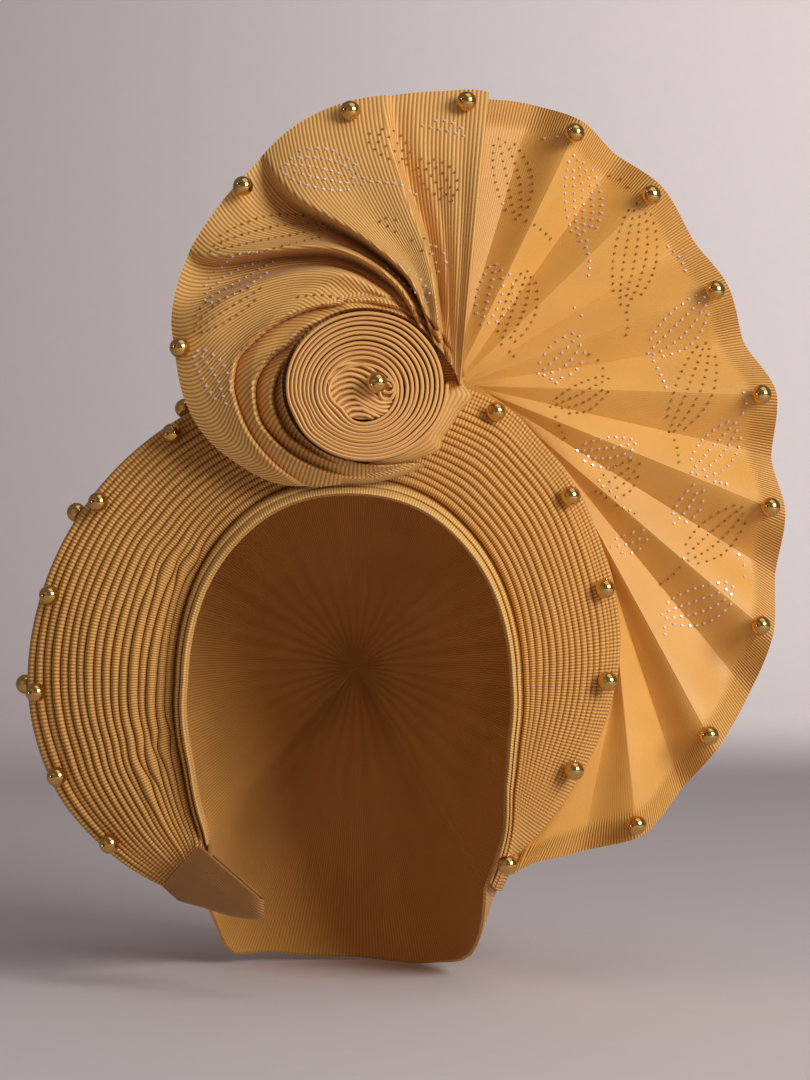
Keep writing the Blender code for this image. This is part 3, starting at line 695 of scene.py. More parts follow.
# Swirled skirt round the rosette
skirtSettings = {
    "reach": 0.129,
    "leastWidth": 0.0016,
    "lift": 0.0102,
    "raise": 0.009,
    "cone": 0.12,
    "outlineAngle": (0, 67.6, 76, 85, 93, 104, 117, 132, 146, 161, 169, 184, 197, 212, 227, 242, 262, 285,
                     310),
    "outlineShare": (0.31, 1.0, 0.957, 0.92, 0.898, 0.851, 0.772, 0.712, 0.674, 0.627, 0.592, 0.551, 0.510,
                     0.450, 0.401, 0.345, 0.298, 0.292, 0.303),
    # each column is a line from the rosette to the hem: where it leaves, where it ends, how soon it
    # turns, its height, how far out its foot stands and how far it curls with the rosette
    "start": (0, 6, 13, 20, 25, 28, 30, 32, 38, 45, 47.5, 54, 63, 80, 100, 120, 145, 172, 200, 228, 256),
    "finish": (67.6, 73, 80, 84.5, 87, 99, 112.5, 115.5, 127, 141, 144, 151, 161, 175, 190, 204, 220, 238,
               258, 281, 306),
    "bend": (2, 2, 2, 2.3, 2.4, 2.6, 2.7, 2.65, 2.35) + (2,) * 12,
    "height": (0.85, 0.42, 0.0, -0.5, 1.0, 0.74, 1.12, -1.0, -0.05, 1.1, -0.65, -0.3, 0.95, 0.66, 0.62, 0.6,
               0.55, 0.5, 0.45, 0.4, 0.35),
    "footOut": (0.0048, 0.0036, 0.0024, 0.0012, 0.0006, 0.0002) + (0,) * 15,
    "curl": (0.0, 0.2, 0.42, 0.55, 0.6, 0.85, 1, 1, 1, 1, 1, 1, 1, 1, 1, 1, 1, 1, 1, 1, 1),
    "deepFolds": (0, 4, 7, 10, 20),  # lines where a fold hides the cloth, so the ribs start afresh
    "ribsTogether": (0.85, 0.6, 0.65, 0.93),  # 1 where ribs stay side by side, 0 where they close up
    "swellAlong": (0.0, 0.25, 0.6, 0.85, 1.0),
    "swellShare": (0.6, 1.0, 0.95, 0.5, 0.08),
    "stepsPerLine": 14,
    "rings": 108,
    "lipRings": 5,
    "lipReach": 0.0285,
    "lipBehind": 0.0006,
    "wall": 0.0008,
    # folds that run round the rosette: the crease of each as angle and radius in millimetres, its depth
    # there, and how high its edge stands outside the crease
    "grooves": (
        {"angle": (104, 112, 119, 134, 147, 160, 170, 180, 190, 200, 219, 231, 244, 256),
         "radius": (33, 33.9, 35.4, 38.9, 43, 47.5, 51.3, 51.6, 50.4, 49.2, 47, 46.0, 45.6, 45.4),
         "depth": (0, 3.6, 5.4, 6, 6, 5.2, 4.4, 4, 3.6, 3.2, 2.6, 1.8, 0.8, 0), "edge": 2.2},
        {"angle": (122, 130, 140, 152, 168, 182, 196, 211, 227, 240, 258, 272),
         "radius": (30.8, 31.4, 32.6, 34.0, 39.9, 43.2, 43.6, 41.6, 39.1, 37.4, 36.2, 35.6),
         "depth": (0, 2.4, 4.2, 5.4, 6, 6, 6, 6, 5.4, 4, 1.6, 0), "edge": 2.4},
        {"angle": (158, 166, 179, 191, 208, 225, 240, 258),
         "radius": (31.8, 33.2, 35.4, 36.7, 36.4, 34.3, 33.0, 32.4),
         "depth": (0, 3, 5.6, 6, 6, 5, 2.6, 0), "edge": 2.4},
        # thin layers that hug the rosette at its upper right
        {"angle": (14, 24, 40, 60, 80, 96, 112),
         "radius": (34.4, 34.1, 33.4, 32.8, 32.5, 32.9, 34.0), "depth": (0, 2.4, 3.2, 3.2, 2.8, 1.6, 0),
         "edge": 1.4},
        {"angle": (18, 30, 46, 62, 78, 94),
         "radius": (36.6, 36.2, 35.6, 35.2, 35.6, 37.0), "depth": (0, 2.2, 2.8, 2.6, 1.8, 0), "edge": 1.3},
    ),
    "grooveWidthMm": 0.55,
    "edgeFadeMm": 3.2,
    "creaseFadeMm": 2.4,
    "ribTilt": ((90, 150, 225, 270, 360), (58, 53, 20, 0, 0)),  # how far the ribs lean from straight out
    "spreadPace": 1.2,  # powers that shape how the cloth spreads out, and how it runs straight to the hem
    "straightPace": 1.1,
    "grooveReachMm": 14,  # a fold moves the cloth no farther than this from its crease
    "edgeDepth": 5,  # depth of the crease at which a fold's edge has its stated height
    "rootRoom": 0.4,  # share of its height that the cloth has beside the rosette
    "lipShares": (0.8, 0.2),  # shares of the lip that lie beside the rosette and behind it
}


def rosetteRadius(angle):
    a = math.radians(angle)
    return rosetteSettings["radius"] / math.hypot(math.cos(a), math.sin(a) / rosetteSettings["flattening"])


def skirtReach(angle):
    s = skirtSettings
    return s["reach"] * curveThrough(s["outlineAngle"], s["outlineShare"], angle)


bandFront = min(
    place(90, faceEdge(90)[0] + bandWidth(90) * t, 0).y
    + bandDepthAt(90, faceEdge(90)[0] + bandWidth(90) * t,
                  capSettings["cadWall"] + bandSettings["seatGap"] + tall)
    for t, tall in ((0.6, bandSettings["thickness"]), (0.25, bandSettings["thickness"]), (1.0, 0.0024))
)


def rosetteBase(z):
    # depth of the plane that the rosette stands on
    r, s = rosetteSettings, skirtSettings
    hem = skirtReach(285)
    leaned = r["lean"] * (z - r["z"] + hem)
    return bandFront - r["skirtClearance"] - s["cone"] * (hem - r["radius"]) + leaned


def skirtFlat(index, along):
    # place on the skirt seen from the front, from the rosette's centre
    s = skirtSettings
    order = list(range(len(s["start"])))
    start, finish, bend, curl, footOut = (
        curveThrough(order, s[column], index) for column in ("start", "finish", "bend", "curl", "footOut"))
    clear = bandSettings["seatGap"]
    angle = start + (finish - start) * (1 - (1 - along) ** bend)
    root = rosetteRadius(angle) + clear + footOut * (1 - along) ** 2
    reach = root + (max(skirtReach(angle), root + s["leastWidth"]) - root) * along ** s["spreadPace"]
    turned = Vector((reach * math.cos(math.radians(angle)), reach * math.sin(math.radians(angle))))
    first = rosetteRadius(start) + clear + footOut
    inner = Vector((math.cos(math.radians(start)), math.sin(math.radians(start)))) * first
    outer = Vector((math.cos(math.radians(finish)), math.sin(math.radians(finish)))) * skirtReach(finish)
    return inner.lerp(outer, along ** s["straightPace"]).lerp(turned, curl)


def grooveDepth(flat):
    # each fold stands up towards its edge, drops at the crease, and the next one rises slowly from there
    s = skirtSettings
    angle = math.degrees(math.atan2(flat.y, flat.x)) % 360
    radius = flat.length * 1000
    total = 0.0
    for groove in s["grooves"]:
        if groove["angle"][0] < angle < groove["angle"][-1]:
            off = radius - curveThrough(groove["angle"], groove["radius"], angle)
            if abs(off) < s["grooveReachMm"]:
                depth = curveThrough(groove["angle"], groove["depth"], angle)
                fade = math.exp(-max(off - s["grooveWidthMm"], 0) / s["edgeFadeMm"])
                edge = -groove["edge"] * depth / s["edgeDepth"] * fade
                crease = depth * math.exp(-max(-off - s["grooveWidthMm"], 0) / s["creaseFadeMm"])
                share = smooth(-s["grooveWidthMm"], s["grooveWidthMm"], off)
                total += crease + (edge - crease) * share
    return total / 1000


def skirtAt(index, along):
    s = skirtSettings
    flat = skirtFlat(index, along)
    low = min(int(index), len(s["height"]) - 2)
    share = (1 - math.cos(math.pi * (index - low))) / 2
    height = s["height"][low] * (1 - share) + s["height"][low + 1] * share
    swell = curveThrough(s["swellAlong"], s["swellShare"], along)
    room = min((flat.length - rosetteRadius(0)) / rosetteSettings["height"] + s["rootRoom"], 1)
    x, z = rosetteSettings["x"] + flat.x, rosetteSettings["z"] + flat.y
    depth = (
        rosetteBase(z)
        + s["cone"] * (flat.length - rosetteSettings["radius"])
        - s["raise"] * (1 - along) ** 2
        - s["lift"] * height * swell * max(room, 0)
        + grooveDepth(flat)
    )
    return Vector((x, depth, z))


def skirtBand(flat):
    # the innermost fold round the rosette that a place lies inside of, or None on the open cloth
    angle = math.degrees(math.atan2(flat.y, flat.x)) % 360
    found = None
    for number, groove in enumerate(skirtSettings["grooves"][:3]):
        if groove["angle"][0] < angle < groove["angle"][-1]:
            if flat.length * 1000 < curveThrough(groove["angle"], groove["radius"], angle):
                found = number
    return found


def ribRuns():
    # for each fold round the rosette, how far along the cloth its crease has come at every second degree
    s = skirtSettings
    runs = []
    for groove in s["grooves"][:3]:
        total, run = 0.0, []
        for angle in range(0, 361, 2):
            run.append(total)
            tilt = math.radians(curveThrough(*s["ribTilt"], angle))
            radius = curveThrough(groove["angle"], groove["radius"], angle)
            total += radius * math.cos(tilt) * math.radians(2)
        runs.append(run)
    return runs


def buildSkirt():
    s = skirtSettings
    lines = len(s["start"]) - 1
    indices = [k / s["stepsPerLine"] for k in range(lines * s["stepsPerLine"] + 1)]
    beside, rest = s["lipShares"]
    grid, flats = [], []
    for index in indices:
        line = [skirtAt(index, j / s["rings"]) for j in range(s["rings"] + 1)]
        # the inner edge turns back beside the rosette and in behind it
        first = skirtFlat(index, 0)
        lip = []
        for j in range(s["lipRings"], 0, -1):
            share = j / s["lipRings"]
            behind = math.sin(min(share / beside, 1) * math.pi / 2)
            reach = first.length + (s["lipReach"] - first.length) * max(share - beside, 0) / rest
            inward = first * (reach / first.length)
            z = rosetteSettings["z"] + inward.y
            depth = line[0].y + (rosetteBase(z) + s["lipBehind"] - line[0].y) * behind
            lip.append(Vector((rosetteSettings["x"] + inward.x, depth, z)))
        grid.append(lip + line)
        flats.append([first] * s["lipRings"])
        flats[-1] += [skirtFlat(index, j / s["rings"]) for j in range(s["rings"] + 1)]
    rings = len(grid[0])
    hem = lengthsAlong([line[-1] for line in grid])
    rows = [lengthsAlong([line[j] for line in grid]) for j in range(rings)]
    lengths = [lengthsAlong(line) for line in grid]
    bands = [[skirtBand((flats[i][j] + flats[i + 1][min(j + 1, rings - 1)]) / 2) for j in range(rings)]
             for i in range(len(grid) - 1)]

    runs = ribRuns()

    def clothMm(i, j, cell):
        fold = bands[cell[0]][cell[1]]
        if fold is not None:
            flat = flats[i][j]
            angle = math.degrees(math.atan2(flat.y, flat.x)) % 360
            tilt = math.radians(curveThrough(*s["ribTilt"], angle))
            crease = curveThrough(s["grooves"][fold]["angle"], s["grooves"][fold]["radius"], angle)
            low = int(angle / 2)
            run = runs[fold][low] + (runs[fold][low + 1] - runs[fold][low]) * (angle / 2 - low)
            return (run - (flat.length * 1000 - crease) * math.sin(tilt), flat.length * 1000)
        at = indices[cell[0]]
        panel = max(k for k in range(len(s["deepFolds"]) - 1) if s["deepFolds"][k] <= at + 1e-9)
        first = s["deepFolds"][panel] * s["stepsPerLine"]
        together = (rows[j][i] - rows[j][first]) * s["ribsTogether"][panel]
        spread = (hem[i] - hem[first]) * (1 - s["ribsTogether"][panel])
        return (hem[first] + together + spread, lengths[i][j] - lengths[i][-1])

    return makeSheet("skirtCloth", grid, clothMm, s["wall"], sharp=60)


def coilRadius(turn):
    # how far the wound strip is from its own middle, after its first small coil
    s = rosetteSettings
    share = (turn - s["coilTurns"] - 1) / s["outerTurns"]
    pitch = (s["radius"] - s["loopRadius"]) / s["outerTurns"]
    radius = s["loopRadius"] + (s["radius"] - pitch / 2 - s["loopRadius"]) * share
    waver = s["roundSway"] * wander(turn * s["swayPace"], 21, 5)
    radius += waver * smooth(*s["firstRound"], share) * smooth(*s["lastRound"], share)
    # the strip is not quite round: it has a few flats where it was pinned
    for angle, push, wide in s["kinks"]:
        off = (turn * 360 - angle + 180) % 360 - 180
        kink = push * math.exp(-(off / wide) ** 2)
        radius += kink * smooth(*s["kinksFrom"], share) * smooth(*s["lastRound"], share)
    angle, push, wide = s["innerFlat"]
    off = (turn * 360 - angle + 180) % 360 - 180
    return radius + push * math.exp(-(off / wide) ** 2) * (1 - smooth(*s["innerFlatTo"], share))


def coilPlace(turn):
    # middle of the wound strip, from the rosette's centre
    s = rosetteSettings
    small, large = s["coilRadius"]
    coil, loop, outer = Vector(s["coilAt"]), Vector(s["loopAt"]), Vector(s["outerAt"])
    if turn < s["coilTurns"]:
        middle, radius = coil, small + (large - small) * turn / s["coilTurns"]
    elif turn < s["coilTurns"] + 1:
        share = smooth(0, 1, turn - s["coilTurns"])
        middle, radius = coil.lerp(loop, share), large + (coilRadius(turn) - large) * share
    else:
        middle = loop.lerp(outer, (turn - s["coilTurns"] - 1) / s["outerTurns"])
        radius = coilRadius(turn)
    a = 2 * math.pi * turn
    return middle + Vector((radius * math.cos(a), s["flattening"] * radius * math.sin(a)))


# Section of a strip stood on edge: up its inner side, over its rounded fold and down its outer side
stripProfile = [(-1.0, 0.0), (-1.0, 0.6), (-0.97, 0.86)]
for degrees in range(15, 166, 30):
    stripProfile.append((-math.cos(math.radians(degrees)), 0.93 + 0.07 * math.sin(math.radians(degrees))))
stripProfile += [(0.97, 0.86), (1.0, 0.6), (1.0, 0.0)]


def foldedStrip(path, half, tops, deep):
    grid = []
    for k, point in enumerate(path):
        before, after = path[max(k - 1, 0)], path[min(k + 1, len(path) - 1)]
        heading = (after - before).normalized()
        out = Vector((heading.y, -heading.x))
        line = []
        for side, tall in stripProfile:
            at = point + out * half[k] * side
            x, z = rosetteSettings["x"] + at.x, rosetteSettings["z"] + at.y
            face = rosetteBase(z) - rosetteSettings["height"] * tops[k]
            line.append(Vector((x, face + deep * (1 - tall), z)))
        grid.append(line)
    return grid


def stripSheet(name, grid):
    down = lengthsAlong([line[len(line) // 2] for line in grid])
    over = lengthsAlong(grid[-1])

    def clothMm(i, j, cell):
        return (down[i], over[j])

    return makeSheet(name, grid, clothMm, rosetteSettings["wall"], sharp=60)


def buildRosette():
    s = rosetteSettings
    turns = s["coilTurns"] + 1 + s["outerTurns"]
    steps = int(turns * s["stepsPerTurn"])
    path, half, tops = [], [], []
    for i in range(steps + 1):
        turn = turns * i / steps
        path.append(coilPlace(turn))
        if turn > s["coilTurns"] + s["evenTurns"]:
            room = (coilRadius(turn + 1) - coilRadius(turn - 1)) / 2
            pitch = min(max(room, s["pitch"][0]), s["pitch"][1])
        else:
            pitch = (s["radius"] - s["loopRadius"]) / s["outerTurns"]
        narrow = smooth(0, s["coilTurns"] + 1, turn) * s["widthGain"] + s["firstShare"]
        waver = 1 + s["widthSway"] * wander(turn * s["widthPace"], 27, 4)
        half.append(pitch / 2 * s["foldWidth"] * narrow * waver)
        top = 1 - s["outerDrop"] * (i / steps) ** 2
        tops.append(top + s["topSway"] * wander(turn * s["topPace"], 31, 4))
    coil = stripSheet("rosetteCoil", foldedStrip(path, half, tops, s["height"] * s["coilDepth"]))
    folds = []
    for number, corners in enumerate(s["firstFolds"]):
        keys = list(range(len(corners)))
        path = []
        for k in range(s["foldSteps"] * (len(corners) - 1) + 1):
            at = k / s["foldSteps"]
            x, z = (curveThrough(keys, [c[axis] / 1000 for c in corners], at) for axis in (0, 1))
            path.append(Vector((x, z)))
        count = len(path)
        end, gain = s["firstTaper"]
        half = [s["firstWidth"] / 2 * min(1, end + gain * (count - 1 - k) / count) for k in range(count)]
        top = s["firstTop"] - s["everyOther"] * (number % 2)
        tops = [top - s["endDrop"] * smooth(*s["endDropFrom"], k / count) for k in range(count)]
        folds.append(stripSheet("firstFold", foldedStrip(path, half, tops, s["firstDepth"])))
    # a round of the same cloth closes the back of the rosette, and another its middle
    for radius, rise in s["backings"]:
        backing = []
        for k in range(s["backSides"] + 1):
            a = 2 * math.pi * k / s["backSides"]
            line = []
            for j in range(s["backRings"] + 1):
                reach = radius * (1 - j / s["backRings"]) + s["backHole"]
                x, z = s["x"] + reach * math.cos(a), s["z"] + s["flattening"] * reach * math.sin(a)
                line.append(Vector((x, rosetteBase(z) + rise, z)))
            backing.append(line)
        folds.append(stripSheet("backing", backing))
    bpy.ops.object.select_all(action="DESELECT")
    for fold in folds:
        fold.select_set(True)
    bpy.context.view_layer.objects.active = folds[0]
    bpy.ops.object.join()
    folds[0].name = folds[0].data.name = "rosetteFirstFolds"
    return coil, folds[0]


# Collar that seats the rosette on the halo
collarSettings = {
    "radius": 0.0385,
    "footRadius": 0.033,
    "pleatRoom": 0.0031,  # how far the halo's pleats stand out before its surface
    "gap": 0.0003,
    "leastDepth": 0.0012,
    "searchTurn": (-6, 7, 2),  # the skirt's back is looked for round each place, in degrees and metres
    "searchReach": (-0.0016, 0, 0.0016),
    "skirtGap": 0.0004,
    "sections": 180,
    "wall": 0.0010,
    # the part that shows, between the two ends of the skirt: a flat ribbon with a bent edge
    "openFrom": (262, 276),
    "openTo": (1, 6),
    "edgeAngle": (262, 290, 306, 311, 318, 322, 325, 330, 343, 350, 354, 358, 363, 370),
    "edgeReach": (33.2, 34.6, 36.6, 37.9, 38.9, 37.2, 36.7, 36.8, 37.9, 40.0, 41.5, 39.4, 37.5, 37.0),
    # how far out and how far before the rosette's foot the ribbon lies, as shares of its edge and in mm
    "ribbon": ((0.0, -5.2), (0.35, -4.5), (0.7, -3.6)),
    "ribbonStart": 31.0,
    "edgeDepth": -2.2,
    "bentEdge": ((-0.7, 0), (0, 0.7), (-0.6, 1.8)),  # from the edge: how far out and how far back, in mm
    "edgeFoot": (-1.0, 36.0, 3.4),  # the last of them, with the farthest that it may lie out
    "wallStep": 0.0002,
    "footShares": (0.3, 0.65, 1.0),
}


def collarPlace(angle, radius):
    a = math.radians(angle)
    return (rosetteSettings["x"] + radius * math.cos(a),
            rosetteSettings["z"] + rosetteSettings["flattening"] * radius * math.sin(a))


def haloFront(x, z):
    reach = math.hypot(x, z + headShape["crownHeight"])
    angle = math.degrees(math.atan2(z + headShape["crownHeight"], x))
    span = haloSpan(angle)
    across = min(max((reach - span[0]) / (span[2] - span[0]), 0), 1)
    return haloSurface(span, across)[1]


def collarLine(angle, top):
    # from the front edge back to the halo; where the collar shows, it first runs out as a flat ribbon
    s = collarSettings
    turned = angle if angle > 180 else angle + 360
    shows = smooth(*s["openFrom"], turned) * smooth(s["openTo"][1] + 360, s["openTo"][0] + 360, turned)
    reach = curveThrough(s["edgeAngle"], s["edgeReach"], turned)
    first = s["ribbonStart"]
    ribbon = [(first + (reach - first) * share, ahead) for share, ahead in s["ribbon"]]
    ribbon += [(reach + out, s["edgeDepth"] + back) for out, back in s["bentEdge"]]
    out, most, back = s["edgeFoot"]
    ribbon.append((min(reach + out, most), s["edgeDepth"] + back))
    line = []
    for k, (out, ahead) in enumerate(ribbon):
        x, z = collarPlace(angle, out / 1000)
        plain = collarPlace(angle, s["radius"])
        flat = Vector((x, rosetteBase(z) + ahead / 1000, z))
        wall = Vector((plain[0], top + s["wallStep"] * k, plain[1]))
        line.append(wall.lerp(flat, shows))
    x, z = collarPlace(angle, s["footRadius"])
    back = haloFront(x, z) - s["pleatRoom"] - s["gap"]
    foot = Vector((x, max(back, line[-1].y + s["leastDepth"]), z))
    return line + [line[-1].lerp(foot, share) for share in s["footShares"]]


def buildCollar(skirt):
    s = collarSettings
    cloth = BVHTree.FromObject(skirt, bpy.context.evaluated_depsgraph_get())
    grid = []
    for i in range(s["sections"]):
        angle = 360 * i / s["sections"]
        deepest = rosetteBase(collarPlace(angle, s["radius"])[1])
        for turn in range(*s["searchTurn"]):
            for step in s["searchReach"]:
                x, z = collarPlace(angle + turn, s["radius"] + step)
                hit = cloth.ray_cast(Vector((x, headShape["halfDepth"], z)), Vector((0, -1, 0)))[0]
                if hit:
                    deepest = max(deepest, hit.y)
        grid.append(collarLine(angle, deepest + s["skirtGap"]))
    over = lengthsAlong(grid[s["sections"] * 11 // 12])
    down = lengthsAlong([line[2] for line in grid] + [grid[0][2]])

    def clothMm(i, j, cell):
        # the ribs run round the collar
        return (over[j], down[i])

    return makeSheet("collarCloth", grid, clothMm, s["wall"], closed=True, sharp=50)


# Plain tab that closes the left end of the halo
tabSettings = {
    "fold": 0.0042,
    "drop": 0.031,
    "overlap": 0.0025,
    "across": (0.0, 0.25, 0.55, 0.8, 1.0),
    "share": (0.9, 1.02, 0.8, 0.46, 0.2),
    "inner": 0.0042,  # how far it reaches in past the halo's edge
    "columns": 40,
    "rows": 60,
    "wall": 0.001,
    "along": (0.0, 0.25, 0.42, 0.5, 0.55, 0.6, 0.75, 1.0),
    "down": (-0.0025, 0.3, 0.86, 1.03, 1.08, 1.03, 0.55, 0.14),
    "side": (-1.0, -1.15, -1.1, -0.7, 0.1, 0.8, 1.0, 1.0),
    "crease": 0.0005,  # how deep its soft creases are, and how quickly they come across and down
    "creasePace": (0.8, 0.5),
}


def buildTab():
    s = tabSettings
    left = haloSettings["left"]
    span = haloSpan(left)
    a = math.radians(left)
    tangent = Vector((-math.sin(a), 0, math.cos(a)))
    grid = []
    for i in range(s["columns"] + 1):
        u = i / s["columns"]
        across = span[0] - s["inner"] + (span[2] - span[0] + s["inner"]) * u
        drop = s["drop"] * curveThrough(s["across"], s["share"], u)
        middle = haloSurface(span, u)[1]
        line = []
        for j in range(s["rows"] + 1):
            v = j / s["rows"]
            down = curveThrough(s["along"], s["down"], v)
            down = down * drop if v > 0 else -s["overlap"]
            side = curveThrough(s["along"], s["side"], v)
            at = u * s["creasePace"][0] + v * s["creasePace"][1]
            crease = s["crease"] * wander(at, 61, 3) * math.sin(math.pi * min(v * 2, 1))
            line.append(place(left, across, middle + s["fold"] * side + crease) + tangent * down)
        grid.append(line)
    return makeSheet("tabCloth", grid, flatUv(grid), s["wall"])


cap = buildCap()
band = buildBand()
halo = buildHalo()
wrap = buildWrap()
fan = buildFan()
skirt = buildSkirt()
rosette, firstFolds = buildRosette()
collar = buildCollar(skirt)
tab = buildTab()
for piece in (cap, band, halo, wrap, fan, skirt, rosette, firstFolds, collar, tab):
    print("cloth:", piece.name, len(piece.data.polygons), "faces")

# Gold beads, 8 mm across, drilled through
beadSettings = {
    "diameter": 0.008,
    "holeStart": 0.955,  # share of the radius where the drilled hole opens
    "holeEdge": 0.00012,
    "holeWall": 0.0001,
    "holeDepth": 0.0012,
    "segments": 28,
    "rings": 16,
    "holeAxis": {"halo": (0.1, -0.2, 1.0), "wrap": (-0.3, -0.3, 1.0), "fan": (-0.42, -0.88, 0.12),
                 "swirl": (-0.45, -0.85, 0.1), "rosette": (-0.4, -0.9, -0.05)},
    "leftHaloAxis": (-0.35, -0.9, 0.05),
    "waver": 0.12,
}


def buildBead(name, node, axis, chance):
    s = beadSettings
    low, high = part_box(node)
    bpy.ops.object.select_all(action="DESELECT")
    bpy.ops.mesh.primitive_uv_sphere_add(segments=s["segments"], ring_count=s["rings"],
                                         radius=s["diameter"] / 2)
    bead = bpy.context.object
    bead.name = bead.data.name = name
    # the drilled hole: the two poles are pushed in as a small cup
    bpy.ops.object.mode_set(mode="EDIT")
    bpy.ops.mesh.select_mode(type="FACE")
    bpy.ops.mesh.select_all(action="DESELECT")
    bpy.ops.object.mode_set(mode="OBJECT")
    for face in bead.data.polygons:
        face.select = abs(face.center.z) > s["diameter"] / 2 * s["holeStart"]
    bpy.ops.object.mode_set(mode="EDIT")
    bpy.ops.mesh.inset(thickness=s["holeEdge"], depth=-s["holeEdge"])
    bpy.ops.mesh.inset(thickness=s["holeWall"], depth=-s["holeDepth"])
    bpy.ops.object.mode_set(mode="OBJECT")
    heading = Vector([part + chance.uniform(-s["waver"], s["waver"]) for part in axis]).normalized()
    bead.data.transform(heading.to_track_quat("Z", "Y").to_matrix().to_4x4())
    bead.data.transform(Matrix.Translation((low + high) / 2))
    bpy.ops.object.shade_smooth_by_angle(angle=math.radians(50))
    return bead


beads = []
chance = random.Random(5)
for node in sorted(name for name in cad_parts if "_bead_" in name):
    edge = node.split("_")[0]
    axis = beadSettings["holeAxis"][edge]
    if edge == "halo" and int(node[-2:]) > 6:
        axis = beadSettings["leftHaloAxis"]
    bead = buildBead("goldBead_" + node.replace("_bead_", ""), node, axis, chance)
    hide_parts(node)
    beads.append(bead)
print("beads:", len(beads))

# Small flat stones in leaf-like groups of curved rows, on the fan and the skirt. Each group: kind of
# stone, where its head and its foot lie from the front in millimetres, the end of its tail, and how
# wide it opens.
stoneSettings = {
    "radius": 0.00084,
    "height": 0.0007,
    "sides": 7,
    "table": 0.55,  # width of the flat top, as a share of the stone
    "rowGapMm": 4.3,
    "stepMm": 2.75,
    "gapMm": 2.3,  # no stone stands nearer to another
    "bowMm": 1.6,
    "castFrom": 0.05,  # stones are laid on the cloth from this far in front of it
    "proud": 0.45,  # share of the height that the middle of a stone stands above the cloth
    "fanLeaves": (
        ("brown", (60.9, 126.0), (68.2, 91.6), (81.1, 83.9), 15),
        ("crystal", (91.3, 118.3), (94.9, 82.7), (96.5, 68.9), 15.5),
        ("brown", (117.6, 98.5), (111.5, 56.8), (111.9, 44.6), 18),
        ("crystal", (145.1, 60.4), (122.0, 37.3), (128.1, 23.2), 15),
        ("brown", (146.7, 43.0), (130.9, 5.3), (133.4, -7.2), 15),
        ("crystal", (60.1, 73.8), (54.0, 48.3), None, 14),
        ("brown", (72.6, 71.4), (61.7, 40.2), (67.4, 33.7), 13),
        ("crystal", (94.1, 44.2), (76.7, 28.0), (83.6, 24.8), 14),
        ("brown", (106.2, 26.8), (81.5, 14.7), (87.2, 2.9), 11),
        ("crystal", (116.8, -0.3), (92.1, -3.2), None, 12),
        ("brown", (117.2, -7.2), (100.2, -19.4), (115.6, -27.9), 12),
        ("crystal", (158.5, 9.8), (139.0, -12.1), (152.8, -16.1), 15),
        ("crystal", (142.3, -15.3), (131.8, -32.3), None, 9),
        ("brown", (160.9, -25.0), (135.8, -46.9), (126.9, -56.6), 15),
        ("crystal", (121.2, -35.6), (105.8, -41.6), None, 8),
        ("crystal", (156.9, -58.2), (126.9, -70.0), (127.7, -77.3), 15),
        ("crystal", (159.7, 21.1), (158.9, 11.8), None, 2),
        ("crystal", (129.7, 81.5), (137.0, 69.7), None, 2),
        ("brown", (105.8, 110.2), (113.9, 103.0), None, 2),
        ("crystal", (78.7, 124.4), (85.6, 122.8), None, 2),
        ("crystal", (158.9, -44.9), (160.1, -55.8), None, 3),
        ("brown", (96.9, 36.9), (103.4, 29.2), None, 2),
        ("crystal", (90.9, 56.0), (93.7, 50.3), None, 2),
    ),
    "skirtLeaves": (
        ("crystal", (-27.6, 110.4), (5.5, 102.7), (26.6, 98.9), 17),
        ("brown", (-55.7, 75.4), (-6.5, 86.2), None, 15),
        ("brown", (7.8, 122.3), (23.9, 111.9), None, 12),
        ("brown", (28.2, 112.7), (41.2, 95.8), None, 12),
        ("crystal", (29.3, 127.3), (47.0, 122.7), None, 4),
        ("crystal", (-58.0, 55.4), (-30.7, 71.9), None, 14),
        ("brown", (-61.4, 43.1), (-34.5, 60.0), None, 12),
        ("crystal", (15.5, 68.1), (32.4, 53.5), None, 5),
        ("brown", (25.5, 78.9), (30.8, 72.7), None, 4),
        ("crystal", (32.4, 78.1), (36.6, 65.8), None, 4),
        ("brown", (-19.5, 55.8), (0.5, 53.9), None, 3),
        ("crystal", (-59.9, 36.2), (-47.6, 14.3), None, 10),
        ("brown", (12.4, 86.5), (20.1, 81.9), None, 4),
    ),
    "singleRowMm": 3,  # a group no wider than this has one row
    "outerRow": (0.1, 0.9),  # where the outermost rows start and end
    "stagger": (0.4, -0.6),  # how far every other row is moved on, in stones
    "openAt": (0.06, 0.86),  # which part of a sine wave opens a group, and the power that rounds it
    "openPower": 0.8,
}


def leafPlaces(head, foot, tail, width):
    # one group: rows that open in the middle and close at both ends, then a single row as its tail
    s = stoneSettings
    head, foot = Vector(head), Vector(foot)
    axis = foot - head
    side = Vector((-axis.y, axis.x)).normalized()
    rows = max(round(width / s["rowGapMm"]) + 1, 1) if width > s["singleRowMm"] else 1
    places = []
    for row in range(rows):
        across = width * (row / (rows - 1) - 0.5) if rows > 1 else 0.0
        first, last = s["outerRow"] if row in (0, rows - 1) and rows > 2 else (0.0, 1.0)
        count = max(int(axis.length * (last - first) / s["stepMm"]), 2)
        for k in range(count):
            t = first + (last - first) * (k + s["stagger"][0] * (row % 2)) / (count + s["stagger"][1])
            open_ = math.sin(math.pi * (s["openAt"][0] + s["openAt"][1] * t)) ** s["openPower"]
            places.append(head + axis * t + side * (across * open_ + s["bowMm"] * math.sin(math.pi * t)))
    if tail:
        tail = Vector(tail)
        count = int((tail - foot).length / s["stepMm"])
        for k in range(1, count + 1):
            t = k / count
            places.append(foot.lerp(tail, t) + side * math.sin(math.pi * t))
    kept = []
    for at in places:
        if all((at - other).length > s["gapMm"] for other in kept):
            kept.append(at)
    return kept


